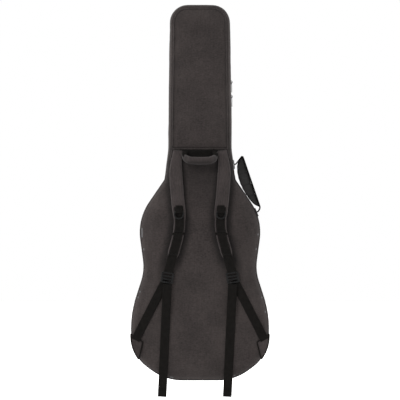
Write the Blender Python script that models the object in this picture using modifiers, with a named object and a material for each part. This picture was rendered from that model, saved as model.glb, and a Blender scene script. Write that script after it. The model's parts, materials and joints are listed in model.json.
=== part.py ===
"""A padded gig bag for a full-size electric guitar, hanging upright with its straps in view.

Metres, +Z up. The origin is the centre of the padded grab handle. The back of the bag, with the
shoulder straps, faces -Y, and the front, with the flat pocket, faces +Y. The bag is a rear shell
and a lid that opens like a book about a fabric spine on the -X side.
"""

import math

import bmesh
import bpy
from mathutils import Matrix, Vector

# Bag outline. Widths are where the flanks of a bulge would meet, before rounding.
NECK_LENGTH = 0.442
BODY_LENGTH = 0.621
TOP_WIDTH = 0.169
NECK_WIDTH = 0.180
NECK_FOOT_WIDTH = 0.2006
UPPER_BOUT_WIDTH = 0.353
WAIST_WIDTH = 0.3136
LOWER_BOUT_WIDTH = 0.391
FOOT_BEND_WIDTH = 0.388
FOOT_WIDTH = 0.197
SEAM_RISE = 0.032
NECK_FOOT_DROP = 0.053
UPPER_BOUT_DROP = 0.1646
WAIST_DROP = 0.3104
LOWER_BOUT_RISE = 0.190
FOOT_BEND_RISE = 0.071
TOP_RADIUS = 0.050
SEAM_RADIUS = 0.150
NECK_FOOT_RADIUS = 0.008
UPPER_BOUT_RADIUS = 0.150
WAIST_RADIUS = 0.135
LOWER_BOUT_RADIUS = 0.270
FOOT_BEND_RADIUS = 0.112
FOOT_RADIUS = 0.150

# Depth, plies and gaps.
BACK_OFFSET = 0.028
DEPTH = 0.090
LID_DEPTH = 0.036
COVER = 0.0010
LINING = 0.0008
PANEL_FOAM = 0.012
GUSSET_FOAM = 0.008
PIPING = 0.004
GAP = 0.0003

# Zips: half a chain's width and thickness, the split between the halves, and the sliders.
CHAIN_HALF = 0.012
CHAIN_THICK = 0.0022
SPLIT = 0.0016
SLIDER_LENGTH = 0.011
SLIDER_WIDTH = 0.009
SLIDER_PLATE = 0.0014
SLIDER_WEB = 0.0010
SLIDER_INNER_WIDTH = 0.006
RUNNING_GAP = 0.0004
CROWN_RADIUS = 0.0036
CROWN_WIRE = 0.0008
PULL_WIDTH = 0.008
PULL_LENGTH = 0.030
PULL_THICK = 0.0014
PULL_CORNER = 0.002
PULL_EYE_CORNER = 0.001
LOWER_SLIDER_RISE = 0.185

# Webbing, shoulder straps and their hardware.
WEBBING_WIDTH = 0.025
WEBBING = 0.0016
PAD = 0.011
PAD_STANDOFF = 0.008
PAD_TOP_WIDTH = 0.0266
PAD_WIDTH = 0.0375
PAD_END_WIDTH = 0.030
STRAP_HINGE_RISE = 0.034
RING_DROP = 0.144
RING_INNER = 0.021
RING_HEIGHT = 0.0185
RING_WIRE = 0.0042
KEEPER_WIDTH = 0.0195
KEEPER_LENGTH = 0.026
KEEPER_TO_WEBBING = 0.001
BUCKLE_DROP = 0.329
BUCKLE_MARGIN = 0.0055
BUCKLE_HEIGHT = 0.029
BUCKLE_THICK = 0.004
BUCKLE_STANDOFF = 0.0075
BUCKLE_SLOT = 0.004
BUCKLE_SLOT_SIDE = 0.0006
BUCKLE_PITCH = 0.0086
BUCKLE_TILT = 9.0
BUCKLE_SHIFT = 0.0012
BUCKLE_CORNER = 0.004
SLOT_CORNER = 0.001
TAIL_DRIFT = -0.0150
TAIL_OVERHANG = 0.043
TAIL_STAND_OFF_RUN = 0.060
TAIL_ROWS = 22
ANCHOR_TOP_SHIFT = 0.004
TAB_RISE = 0.101
TAB_HEIGHT = 0.074
TAB_ABOVE_APEX = 0.0333
TAB_REACH = 0.033
TAB_THICK = 0.003

# Handles.
HANDLE_SPAN = 0.089
HANDLE_HEIGHT = 0.020
HANDLE_THICK = 0.014
HANDLE_WEBBING = 0.0024
HANDLE_STRIP = 0.014
HANDLE_BEND = 0.0112
HANDLE_GRIP_CORNER = 0.006
HANDLE_SLEEVE_PLAY = 0.0009
HANDLE_HINGE_DROP = 0.002
STRAP_BESIDE_HANDLE = 0.0171
SIDE_HANDLE_TOP_DROP = 0.010
SIDE_HANDLE_FOOT_DROP = 0.1455
SIDE_HANDLE_REACH = 0.0275
SIDE_HANDLE_FOOT_REACH = 0.0105
SIDE_HANDLE_SHOULDER = 0.0147
SIDE_HANDLE_LENGTH = 0.157
SIDE_GRIP_BULGE = 0.029
SIDE_GRIP_THICK = 0.018
SIDE_GRIP_START = 0.0106
SIDE_GRIP_SKEW = 0.85
SIDE_GRIP_STEPS = 14
SIDE_HANDLE_BEND = 0.006
SIDE_HANDLE_STANDOFF = 0.0065

# Pocket on the lid.
POCKET_INSET = 0.022
POCKET_TOP_DROP = 0.235
POCKET_DEPTH = 0.010
POCKET_WALL = 0.003
POCKET_PANEL = 0.003
POCKET_SLIDER_SIDE = 0.055

# Fittings inside.
NECK_REST_RISE = 0.210
NECK_REST_LENGTH = 0.070
NECK_REST_WIDTH = 0.100
NECK_REST_BASE = 0.012
NECK_REST_HORN = 0.028
NECK_GROOVE = 0.056
NECK_STRAP_WIDTH = 0.050
NECK_STRAP_THICK = 0.002
NECK_STRAP_CLEAR = 0.006
BUMPER = (0.080, 0.030, 0.016)
BUMPER_EDGE = 0.002

ARC_STEP = math.radians(15)
SMOOTH_STEPS = 3
SLOPE_STEP = 0.004

# The shoulder strap's centre line, from its seam to its adjuster: how far outward of its own top
# it bends, and its drop below the handle. The strap on the other side mirrors it.
STRAP_BENDS = (
    (0.0, -0.0300),
    (0.0059, 0.0126),
    (0.0053, 0.0546),
    (0.0008, 0.1106),
    (-0.0042, 0.1666),
    (-0.0003, 0.2086),
    (0.0168, 0.2730),
    (0.0289, 0.3170),
)
STRAP_TOP_SIDE = HANDLE_SPAN / 2 + STRAP_BESIDE_HANDLE
STRAP_ROUTE = [(STRAP_TOP_SIDE + bend, drop) for bend, drop in STRAP_BENDS]
PAD_POINTS = 7

# Faces and planes that follow from those sizes.
FRONT_Y = BACK_OFFSET + DEPTH
ZIP_Y = FRONT_Y - LID_DEPTH
FOAM_INSET = CHAIN_THICK + GAP
LINING_INSET = FOAM_INSET + GUSSET_FOAM + GAP
PANEL_STACK = COVER + GAP + PANEL_FOAM + GAP + LINING
PAD_MIDDLE_Y = BACK_OFFSET - PAD_STANDOFF - PAD / 2
PAD_FACE_Y = BACK_OFFSET - PAD_STANDOFF - PAD
WEBBING_ON_PAD_Y = PAD_FACE_Y - GAP - WEBBING / 2
RING_Y = PAD_FACE_Y - GAP - WEBBING - GAP - RING_WIRE / 2
BUCKLE_Y = BACK_OFFSET - BUCKLE_STANDOFF - BUCKLE_THICK / 2
BUCKLE_FRONT_Y = BUCKLE_Y - BUCKLE_THICK / 2
BUCKLE_BACK_Y = BUCKLE_Y + BUCKLE_THICK / 2
TAB_FACE_Y = BACK_OFFSET - GAP - TAB_THICK
SIDE_HANDLE_Y = (BACK_OFFSET + ZIP_Y - CHAIN_HALF) / 2
HANDLE_HINGE = Vector((0.0, BACK_OFFSET - GAP - HANDLE_WEBBING / 2, SEAM_RISE - HANDLE_HINGE_DROP))
STRAP_HINGE_Y = BACK_OFFSET - GAP


def finish(name, colour, roughness, metallic=0.0):
    """A Principled material."""
    material = bpy.data.materials.new(name)
    material.use_nodes = True
    shader = material.node_tree.nodes["Principled BSDF"]
    shader.inputs["Base Color"].default_value = (*colour, 1.0)
    shader.inputs["Roughness"].default_value = roughness
    shader.inputs["Metallic"].default_value = metallic
    return material


def clear_scene():
    """Removes whatever the scene holds."""
    for obj in list(bpy.data.objects):
        bpy.data.objects.remove(obj, do_unlink=True)


class Shop:
    """Puts finished objects in their collection, with a material and a parent."""

    def __init__(self):
        self.parts = bpy.data.collections.new("padded_gig_bag")
        self.cutters = bpy.data.collections.new("cutters")
        for collection in (self.parts, self.cutters):
            bpy.context.scene.collection.children.link(collection)
        self.finishes = {
            "heather": finish("heather_fabric", (0.055, 0.050, 0.048), 0.95),
            "webbing": finish("black_webbing", (0.012, 0.012, 0.012), 0.8),
            "lining": finish("nylon_lining", (0.02, 0.02, 0.022), 0.6),
            "foam": finish("foam", (0.16, 0.16, 0.16), 0.95),
            "plastic": finish("moulded_plastic", (0.012, 0.012, 0.012), 0.4),
            "metal": finish("nickel_plate", (0.45, 0.45, 0.46), 0.3, 1.0),
            "zip": finish("zip_chain", (0.015, 0.015, 0.016), 0.6),
        }

    def axis(self, name, place, parent=None):
        """An empty on a joint's axis, for the pieces that move with that joint."""
        empty = bpy.data.objects.new(name, None)
        empty.empty_display_size = 0.02
        self.parts.objects.link(empty)
        empty.location = place
        if parent:
            empty.parent = parent
            empty.location = Vector(place) - parent.matrix_world.translation
        bpy.context.view_layer.update()
        return empty

    def add(self, obj, look, parent=None):
        """Links a part, dresses it and hangs it on its axis without moving it."""
        obj.data.materials.append(self.finishes[look])
        if not obj.users_collection:
            self.parts.objects.link(obj)
        if parent:
            obj.parent = parent
            obj.matrix_parent_inverse = parent.matrix_world.inverted()
        return obj


# --- Flat outlines ------------------------------------------------------------------------


def rounded(points, radii, inset=0.0):
    """The open polyline through points, with each inner point rounded, moved right by inset."""
    line = []
    for before, here, after, radius in zip(points, points[1:], points[2:], radii):
        here = Vector(here)
        back = Vector(before) - here
        ahead = Vector(after) - here
        turn = (-back).angle_signed(ahead)
        half = math.tan(abs(turn) / 2)
        reach = min(radius * half, 0.49 * back.length, 0.49 * ahead.length)
        radius = reach / half
        middle = back.normalized() + ahead.normalized()
        centre = here + middle.normalized() * (radius / math.cos(turn / 2))
        spoke = (here + back.normalized() * reach - centre) / radius
        radius += -inset if turn > 0 else inset
        steps = max(2, math.ceil(abs(turn) / ARC_STEP))
        for step in range(steps + 1):
            line.append(centre + rotated(spoke, -turn * step / steps) * radius)
    return line


def rotated(vector, angle):
    """A flat vector turned anticlockwise."""
    cosine = math.cos(angle)
    sine = math.sin(angle)
    return Vector((vector.x * cosine - vector.y * sine, vector.x * sine + vector.y * cosine))


def mirrored(line):
    """The line on the other side, run backwards."""
    return [Vector((-point.x, point.y)) for point in reversed(line)]


def bag_side(inset=0.0):
    """The bag's outline from the top edge to the bottom edge, down the +X side."""
    corners = (
        (TOP_WIDTH / 2, NECK_LENGTH, TOP_RADIUS),
        (NECK_WIDTH / 2, SEAM_RISE, SEAM_RADIUS),
        (NECK_FOOT_WIDTH / 2, -NECK_FOOT_DROP, NECK_FOOT_RADIUS),
        (UPPER_BOUT_WIDTH / 2, -UPPER_BOUT_DROP, UPPER_BOUT_RADIUS),
        (WAIST_WIDTH / 2, -WAIST_DROP, WAIST_RADIUS),
        (LOWER_BOUT_WIDTH / 2, LOWER_BOUT_RISE - BODY_LENGTH, LOWER_BOUT_RADIUS),
        (FOOT_BEND_WIDTH / 2, FOOT_BEND_RISE - BODY_LENGTH, FOOT_BEND_RADIUS),
        (FOOT_WIDTH / 2, -BODY_LENGTH, FOOT_RADIUS),
    )
    points = [(-TOP_WIDTH / 2, NECK_LENGTH)]
    points += [(x, z) for x, z, radius in corners]
    points += [(-FOOT_WIDTH / 2, -BODY_LENGTH)]
    return rounded(points, [radius for x, z, radius in corners], inset)


def bag_loop(inset=0.0):
    """The whole outline, clockwise from the top edge as the back is seen."""
    side = bag_side(inset)
    return side + mirrored(side)


def point_at(line, z):
    """The point of a line that runs down or up, at the height z."""
    for start, end in zip(line, line[1:]):
        if (start.y - z) * (end.y - z) <= 0 and start.y != end.y:
            return start.lerp(end, (z - start.y) / (end.y - start.y))
    raise ValueError(f"the line doesn't reach height {z}")


def between(line, low, high):
    """The stretch of a descending line between two heights, with its ends cut square."""
    inner = [point for point in line if low < point.y < high]
    ends = [[point_at(line, z)] if line[0].y > z > line[-1].y else [] for z in (high, low)]
    return ends[0] + inner + ends[1]


def spine_heights():
    """Top and foot of the spine: where one straight line touches both bouts."""
    side = bag_side()
    for i, high in enumerate(side):
        for low in side[i + 2:]:
            if high.y > -NECK_FOOT_DROP or low.y > -WAIST_DROP:
                continue
            away = rotated(low - high, math.pi / 2)
            if all((point - high).dot(away) < 1e-9 for point in side):
                return high.y, low.y
    raise ValueError("no line touches both bouts")


def zip_run(inset):
    """The outline from the spine's top, over the neck and round to the spine's foot."""
    high, low = spine_heights()
    side = bag_side(inset)
    over = mirrored(between(side, high, NECK_LENGTH + 1))
    under = mirrored(between(side, -BODY_LENGTH - 1, low))
    return over + side + under


def spine_run(inset):
    """The outline along the spine, from its foot to its top."""
    high, low = spine_heights()
    return mirrored(between(bag_side(inset), low + SPLIT, high - SPLIT))


# --- Makers of solids ---------------------------------------------------------------------


def upright(y):
    """Stands a flat outline up, with its plane at y."""
    return Matrix.Translation((0.0, y, 0.0)) @ Matrix.Rotation(math.pi / 2, 4, "X")


def flat(name, loops, thickness, place):
    """A solid of even thickness, from one outline and any holes in it."""
    curve = bpy.data.curves.new(name, "CURVE")
    curve.dimensions = "2D"
    curve.fill_mode = "BOTH"
    curve.extrude = thickness / 2
    for loop in loops:
        spline = curve.splines.new("POLY")
        spline.points.add(len(loop) - 1)
        for target, (x, y) in zip(spline.points, loop):
            target.co = (x, y, 0.0, 1.0)
        spline.use_cyclic_u = True
    obj = bpy.data.objects.new(name, curve)
    obj.matrix_world = place
    return obj


def slab(name, loops, y_from, y_to):
    """A flat solid that stands upright between two planes."""
    return flat(name, loops, abs(y_to - y_from), upright((y_from + y_to) / 2))


def tube(name, path, radius, closed=False):
    """A round bar along a path, with filled ends."""
    curve = bpy.data.curves.new(name, "CURVE")
    curve.dimensions = "3D"
    curve.bevel_depth = radius
    curve.bevel_resolution = 1
    curve.use_fill_caps = not closed
    spline = curve.splines.new("POLY")
    spline.points.add(len(path) - 1)
    for target, (x, y, z) in zip(spline.points, path):
        target.co = (x, y, z, 1.0)
    spline.use_cyclic_u = closed
    return bpy.data.objects.new(name, curve)


def ribbon(name, path, across, widths, thickness):
    """A strap: a strip as wide as widths say, along across, with Solidify for its thickness."""
    strip = bmesh.new()
    rows = []
    for point, side, width in zip(path, across, widths):
        reach = side.normalized() * (width / 2)
        rows.append((strip.verts.new(point - reach), strip.verts.new(point + reach)))
    for first, second in zip(rows, rows[1:]):
        strip.faces.new((first[0], first[1], second[1], second[0]))
    mesh = bpy.data.meshes.new(name)
    strip.to_mesh(mesh)
    strip.free()
    obj = bpy.data.objects.new(name, mesh)
    wall = obj.modifiers.new("thickness", "SOLIDIFY")
    wall.thickness = thickness
    wall.offset = 0.0
    return obj


def block(name, size, place, bevel=0.0):
    """A box with bevelled edges."""
    mesh = bpy.data.meshes.new(name)
    solid = bmesh.new()
    bmesh.ops.create_cube(solid, size=1.0)
    bmesh.ops.scale(solid, vec=size, verts=solid.verts)
    solid.to_mesh(mesh)
    solid.free()
    obj = bpy.data.objects.new(name, mesh)
    obj.matrix_world = place
    if bevel:
        edge = obj.modifiers.new("edges", "BEVEL")
        edge.width = bevel
        edge.segments = 2
    return obj


def meshed(shop, obj):
    """The object's evaluated shape as a mesh object with welded caps, in the cutters' place."""
    shop.cutters.objects.link(obj)
    bpy.context.view_layer.update()
    graph = bpy.context.evaluated_depsgraph_get()
    mesh = bpy.data.meshes.new_from_object(obj.evaluated_get(graph))
    welded = bmesh.new()
    welded.from_mesh(mesh)
    bmesh.ops.remove_doubles(welded, verts=welded.verts, dist=1e-6)
    welded.to_mesh(mesh)
    welded.free()
    solid = bpy.data.objects.new(obj.name, mesh)
    solid.matrix_world = obj.matrix_world
    bpy.data.objects.remove(obj, do_unlink=True)
    return solid


def joined(shop, body, extras):
    """One solid of a body and what is cast in one piece with it."""
    name = body.name
    body = meshed(shop, body)
    body.name = name
    for number, extra in enumerate(extras):
        tool = meshed(shop, extra)
        tool.name = f"{name}_add_{number}"
        tool.hide_render = True
        tool.display_type = "WIRE"
        shop.cutters.objects.link(tool)
        union = body.modifiers.new(f"add_{number}", "BOOLEAN")
        union.operation = "UNION"
        union.solver = "EXACT"
        union.object = tool
    return body


def smooth(points, per_span):
    """A curve through points that may be of any dimension, with per_span steps between two."""
    ends = [points[0] * 2 - points[1]] + list(points) + [points[-1] * 2 - points[-2]]
    line = []
    for a, b, c, d in zip(ends, ends[1:], ends[2:], ends[3:]):
        for step in range(per_span):
            t = step / per_span
            line.append(
                (b * 2 + (c - a) * t + (a * 2 - b * 5 + c * 4 - d) * t**2
                 + (b * 3 - a - c * 3 + d) * t**3) / 2
            )
    return line + [points[-1].copy()]


def across_back(path):
    """For each point of a strap that lies on the back, the direction across it."""
    sides = []
    for i in range(len(path)):
        along = path[min(i + 1, len(path) - 1)] - path[max(i - 1, 0)]
        sides.append(along.cross(Vector((0.0, -1.0, 0.0))).normalized())
    return sides


def round_rectangle(width, height, radius, x=0.0, y=0.0):
    """The corners of a rectangle, each cut round in three steps."""
    loop = []
    for quarter in range(4):
        turn = quarter * math.pi / 2
        reach = rotated(Vector((1.0, 1.0)), turn)
        corner = Vector((
            x + reach.x * (width / 2 - radius),
            y + reach.y * (height / 2 - radius),
        ))
        for step in range(4):
            loop.append(corner + rotated(Vector((radius, 0.0)), turn + step * math.pi / 6))
    return loop


# --- Sub-assemblies -----------------------------------------------------------------------


def build_half(shop, side, gusset, y_face, y_zip, parent=None):
    """One half of the bag: panel and gusset, each of cover, foam and lining, and the edge strips.

    The strips are the piping, the half of the zip that opens, and the half of the fabric spine
    that the lid folds about.
    """
    inward = 1 if y_zip > y_face else -1

    def at(depth):
        return y_face + inward * depth

    chain_edge = y_zip - inward * (CHAIN_HALF + GAP)
    foam_edge = y_zip - inward * (SLIDER_INNER_WIDTH / 2 + RUNNING_GAP)
    panel_inset = PIPING + GAP
    foam_top = COVER + GAP
    lining_top = foam_top + PANEL_FOAM + GAP
    if side == "back":
        seam = SEAM_RISE
        whole = bag_side(panel_inset)
        upper = between(whole, seam + GAP / 2, NECK_LENGTH + 1)
        lower = between(whole, -BODY_LENGTH - 1, seam - GAP / 2)
        for name, part in (("back_cover_upper", upper), ("back_cover_lower", lower)):
            shop.add(slab(name, [part + mirrored(part)], at(0), at(COVER)), "heather", parent)
    else:
        cover = slab("front_cover", [bag_loop(panel_inset)], at(0), at(COVER))
        shop.add(cover, "heather", parent)
    foam = slab(f"{side}_foam", [bag_loop(panel_inset)], at(foam_top), at(foam_top + PANEL_FOAM))
    shop.add(foam, "foam", parent)
    lining = slab(f"{side}_lining", [bag_loop(FOAM_INSET)], at(lining_top), at(PANEL_STACK))
    shop.add(lining, "lining", parent)
    bead = [(x, at(PIPING / 2), z) for x, z in bag_loop(PIPING / 2)]
    shop.add(tube(f"{side}_piping", bead, PIPING / 2, closed=True), "heather", parent)
    rings = (
        ("cover", "heather", 0.0, COVER, at(PIPING + GAP), chain_edge),
        ("foam", "foam", FOAM_INSET, FOAM_INSET + GUSSET_FOAM, at(PANEL_STACK + GAP), foam_edge),
        ("lining", "lining", LINING_INSET, LINING_INSET + LINING, at(PANEL_STACK + GAP), foam_edge),
    )
    for ply, look, outer, inner, y_from, y_to in rings:
        ring = slab(f"{gusset}_gusset_{ply}", [bag_loop(outer), bag_loop(inner)], y_from, y_to)
        shop.add(ring, look, parent)
    chain = zip_run(0.0) + zip_run(CHAIN_THICK)[::-1]
    tape_edge = chain_edge + inward * GAP
    y_split = y_zip - inward * SPLIT / 2
    shop.add(slab(f"{gusset}_zip", [chain], tape_edge, y_split), "zip", parent)
    strip = spine_run(0.0) + spine_run(CHAIN_THICK)[::-1]
    shop.add(slab(f"{gusset}_spine_strip", [strip], tape_edge, y_split), "heather", parent)


def build_inside(shop):
    """The neck rest and its strap, and the bumper under the guitar's end."""
    floor_y = BACK_OFFSET + PANEL_STACK + GAP
    half = NECK_REST_WIDTH / 2
    groove = NECK_GROOVE / 2
    horn = groove + (NECK_REST_HORN - NECK_REST_BASE) / 3
    profile = [
        (-half, 0.0), (half, 0.0), (half, NECK_REST_HORN), (horn, NECK_REST_HORN),
        (groove, NECK_REST_BASE), (-groove, NECK_REST_BASE), (-horn, NECK_REST_HORN),
        (-half, NECK_REST_HORN),
    ]
    place = Matrix.Translation((0.0, floor_y, NECK_REST_RISE))
    shop.add(flat("neck_rest", [profile], NECK_REST_LENGTH, place), "foam")
    out = half + NECK_STRAP_CLEAR
    top = NECK_REST_HORN + NECK_STRAP_CLEAR
    corners = [(-out, 0.0), (-out, top), (out, top), (out, 0.0)]
    line = [corners[0]] + rounded(corners, [NECK_STRAP_CLEAR] * 2) + [corners[-1]]
    route = [Vector((x, floor_y + y, NECK_REST_RISE)) for x, y in line]
    up = [Vector((0.0, 0.0, 1.0))] * len(route)
    widths = [NECK_STRAP_WIDTH] * len(route)
    shop.add(ribbon("neck_strap", route, up, widths, NECK_STRAP_THICK), "webbing")
    z = -BODY_LENGTH + LINING_INSET + LINING + GAP + BUMPER[2] / 2
    y = floor_y + BUMPER[1] / 2 + GAP
    shop.add(block("bottom_bumper", BUMPER, Matrix.Translation((0.0, y, z)), BUMPER_EDGE), "foam")


def slider_solid(shop, name, place):
    """A zip slider: outer and inner plates, the web between them, and the crown for the pull.

    Locally +X points out of the bag, Y lies across the chain and Z along it, and X is 0 on
    the chain's outer face.
    """
    out = RUNNING_GAP
    into = -CHAIN_THICK - RUNNING_GAP
    wide = SLIDER_WIDTH / 2
    narrow = SLIDER_INNER_WIDTH / 2 - RUNNING_GAP
    web = SLIDER_WEB / 2
    section = [
        (out, -wide), (out + SLIDER_PLATE, -wide), (out + SLIDER_PLATE, wide), (out, wide),
        (out, web), (into, web), (into, narrow), (into - SLIDER_PLATE, narrow),
        (into - SLIDER_PLATE, -narrow), (into, -narrow), (into, -web), (out, -web),
    ]
    body = flat(name, [section], SLIDER_LENGTH, place)
    face = out + SLIDER_PLATE
    crown = []
    for step in range(9):
        turn = math.pi * step / 8
        reach = math.sin(turn) * CROWN_RADIUS
        crown.append(Vector((face + reach - CROWN_WIRE / 2, 0.0, math.cos(turn) * CROWN_RADIUS)))
    crown = [place @ point for point in crown]
    return joined(shop, body, [tube(f"{name}_crown", crown, CROWN_WIRE)])


def pull_pivot():
    """How far out of the chain's face the pull turns."""
    return RUNNING_GAP + SLIDER_PLATE + (CROWN_RADIUS - CROWN_WIRE * 1.5) / 2


def pull_solid(name, place):
    """A pull tab hanging through the crown towards local -Z, with its eye round the pivot."""
    bar = PULL_THICK
    eye_width = PULL_WIDTH - 2 * PULL_THICK
    eye_z = -bar / 2 - CROWN_RADIUS
    eye = round_rectangle(eye_width, 2 * CROWN_RADIUS, PULL_EYE_CORNER, 0.0, eye_z)
    tab = round_rectangle(PULL_WIDTH, PULL_LENGTH, PULL_CORNER, 0.0, bar / 2 - PULL_LENGTH / 2)
    turn = Matrix(((0, 0, 1, pull_pivot()), (1, 0, 0, 0), (0, 1, 0, 0), (0, 0, 0, 1)))
    return flat(name, [tab, eye], PULL_THICK, place @ turn)


def neck_edge_place(rise):
    """Stands on the straight side of the neck, with X outwards and Z up along the zip."""
    side = bag_side()
    here = point_at(side, rise)
    above = point_at(side, rise + SLOPE_STEP)
    up = Vector((above.x - here.x, 0.0, above.y - here.y)).normalized()
    forward = Vector((0.0, 1.0, 0.0))
    out = forward.cross(up)
    place = Matrix.Identity(4)
    for column, direction in enumerate((out, forward, up)):
        place.col[column][:3] = direction
    place.translation = (here.x, ZIP_Y, here.y)
    return place


def build_sliders(shop, lid):
    """Two sliders that meet on the neck, and the pocket's, each with its own pull."""
    places = {
        "upper": (neck_edge_place(LOWER_SLIDER_RISE + PULL_LENGTH + SLIDER_LENGTH), None),
        "lower": (neck_edge_place(LOWER_SLIDER_RISE), None),
        "pocket": (pocket_slider_place(), lid),
    }
    for name, (place, parent) in places.items():
        run = shop.axis(f"{name}_slider_run", place.translation, parent)
        hinge_at = place @ Vector((pull_pivot(), 0.0, 0.0))
        hinge = shop.axis(f"{name}_pull_hinge", hinge_at, run)
        shop.add(slider_solid(shop, f"{name}_slider", place), "metal", run)
        shop.add(pull_solid(f"{name}_pull", place), "metal", hinge)


def pocket_side(inset):
    """The pocket's outline from its top edge, down the +X side to the bottom."""
    return between(bag_side(POCKET_INSET + inset), -BODY_LENGTH - 1, -POCKET_TOP_DROP - inset)


def pocket_loop(inset):
    """The pocket's whole outline, moved inwards by inset."""
    side = pocket_side(inset)
    return side + mirrored(side)


def pocket_slider_place():
    """On the pocket's zip, with X out of the front and Z along the zip."""
    face = FRONT_Y + GAP + POCKET_DEPTH + POCKET_PANEL
    place = Matrix(((0, 0, 1, 0), (1, 0, 0, 0), (0, 1, 0, 0), (0, 0, 0, 1)))
    place.translation = (POCKET_SLIDER_SIDE, face, -POCKET_TOP_DROP - POCKET_WALL - CHAIN_HALF)
    return place


def build_pocket(shop, lid):
    """The flat pocket: a bellows wall, the front panel, and the zip along its top."""
    root_y = FRONT_Y + GAP
    front_y = root_y + POCKET_DEPTH
    wall = slab("pocket_wall", [pocket_loop(0.0), pocket_loop(POCKET_WALL)], root_y, front_y - GAP)
    shop.add(wall, "heather", lid)
    split_z = -POCKET_TOP_DROP - POCKET_WALL - CHAIN_HALF
    side = pocket_side(0.0)
    top = between(side, split_z + SPLIT / 2, -POCKET_TOP_DROP)
    panel = between(side, -BODY_LENGTH - 1, split_z - CHAIN_HALF)
    face_y = front_y + POCKET_PANEL
    chain_y = face_y - CHAIN_THICK
    lower = between(side, split_z - CHAIN_HALF + GAP, split_z - SPLIT / 2)
    shop.add(slab("pocket_panel", [panel + mirrored(panel)], front_y, face_y), "heather", lid)
    for name, part in (("pocket_zip_upper", top), ("pocket_zip_lower", lower)):
        shop.add(slab(name, [part + mirrored(part)], chain_y, face_y), "zip", lid)


def strap_route(side, first, last):
    """The strap's centre line between two of its route's points, at y = 0."""
    points = [Vector((side * x, 0.0, -drop)) for x, drop in STRAP_ROUTE[first:last]]
    return smooth(points, SMOOTH_STEPS)


def strap_point(side, drop):
    """The point of the strap's centre line at a drop below the handle."""
    route = [Vector((point.x, point.z)) for point in strap_route(side, 0, None)]
    return point_at(route, -drop).x


def eased(value, start, end):
    """0 before start, 1 after end and smooth between them."""
    share = min(1.0, max(0.0, (value - start) / (end - start)))
    return share * share * (3 - 2 * share)


def build_strap(shop, name, side):
    """One shoulder strap, from its seam to its adjuster, and the tail that hangs from that."""
    hinge_x = side * STRAP_ROUTE[0][0]
    lift = shop.axis(f"strap_{name}_lift", (hinge_x, STRAP_HINGE_Y, STRAP_HINGE_RISE))

    pad = strap_route(side, 0, PAD_POINTS)
    seam_z = pad[0].z
    pad_foot = pad[-1].z
    seam_y = BACK_OFFSET - GAP - PAD / 2
    widths = []
    for point in pad:
        out = eased(seam_z - point.z, 0.0, PAD_WIDTH * 2)
        point.y = seam_y + (PAD_MIDDLE_Y - seam_y) * out
        width = PAD_TOP_WIDTH + (PAD_WIDTH - PAD_TOP_WIDTH) * out
        narrowed = eased(pad_foot + PAD_WIDTH - point.z, 0.0, PAD_WIDTH)
        widths.append(width + (PAD_END_WIDTH - PAD_WIDTH) * narrowed)
    shop.add(ribbon(f"strap_pad_{name}", pad, across_back(pad), widths, PAD), "heather", lift)

    buckle = Vector((side * (STRAP_ROUTE[-1][0] + BUCKLE_SHIFT), BUCKLE_Y, -BUCKLE_DROP))
    keeper_foot = -RING_DROP - RING_WIRE / 2 - GAP - WEBBING
    webbing_top = keeper_foot - KEEPER_TO_WEBBING
    line = [point for point in strap_route(side, 0, None) if point.z < webbing_top - WEBBING]
    top = Vector((strap_point(side, -webbing_top), 0.0, webbing_top))
    line = [top] + line
    buckle_front = BUCKLE_FRONT_Y - GAP - WEBBING / 2
    for point in line:
        out = eased(pad_foot - point.z, 0.0, pad_foot - line[-1].z)
        point.y = WEBBING_ON_PAD_Y + (buckle_front - WEBBING_ON_PAD_Y) * out
    even = [WEBBING_WIDTH] * len(line)
    webbing = ribbon(f"strap_webbing_{name}", line, across_back(line), even, WEBBING)
    shop.add(webbing, "webbing", lift)

    build_ring(shop, name, side, lift)
    build_buckle(shop, name, side, buckle, lift)
    build_tail(shop, name, buckle, lift)
    build_anchor(shop, name, side, buckle)


def build_ring(shop, name, side, lift):
    """The D-ring on the strap, and the webbing loop that keeps it there."""
    x = strap_point(side, RING_DROP)
    bar = Vector((x, RING_Y, -RING_DROP))
    wire = RING_WIRE / 2
    wrap = wire + GAP + WEBBING / 2
    line = [Vector((x, RING_Y + wrap, bar.z + KEEPER_LENGTH))]
    for step in range(7):
        turn = math.pi * step / 6
        line.append(Vector((x, RING_Y + wrap * math.cos(turn), bar.z - wrap * math.sin(turn))))
    line.append(Vector((x, RING_Y - wrap, bar.z + KEEPER_LENGTH / 4)))
    line.append(Vector((x, RING_Y + wrap - WEBBING - GAP, bar.z + KEEPER_LENGTH / 2)))
    line.append(Vector((x, RING_Y + wrap - WEBBING - GAP, bar.z + KEEPER_LENGTH)))
    across = [Vector((1.0, 0.0, 0.0))] * len(line)
    even = [KEEPER_WIDTH] * len(line)
    keeper = ribbon(f"d_ring_keeper_{name}", line, across, even, WEBBING)
    shop.add(keeper, "webbing", lift)

    hinge = shop.axis(f"d_ring_{name}_hinge", bar, lift)
    half = (RING_INNER + RING_WIRE) / 2
    corner = RING_WIRE / 2
    shape = [(-half, -corner), (-half + corner, 0.0), (half - corner, 0.0), (half, -corner)]
    shoulder = RING_HEIGHT * 0.4
    for step in range(13):
        turn = math.pi * step / 12
        shape.append((half * math.cos(turn), -shoulder - (RING_HEIGHT - shoulder) * math.sin(turn)))
    path = [(bar.x + u, bar.y, bar.z + v) for u, v in shape]
    shop.add(tube(f"d_ring_{name}", path, wire, closed=True), "plastic", hinge)


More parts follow.
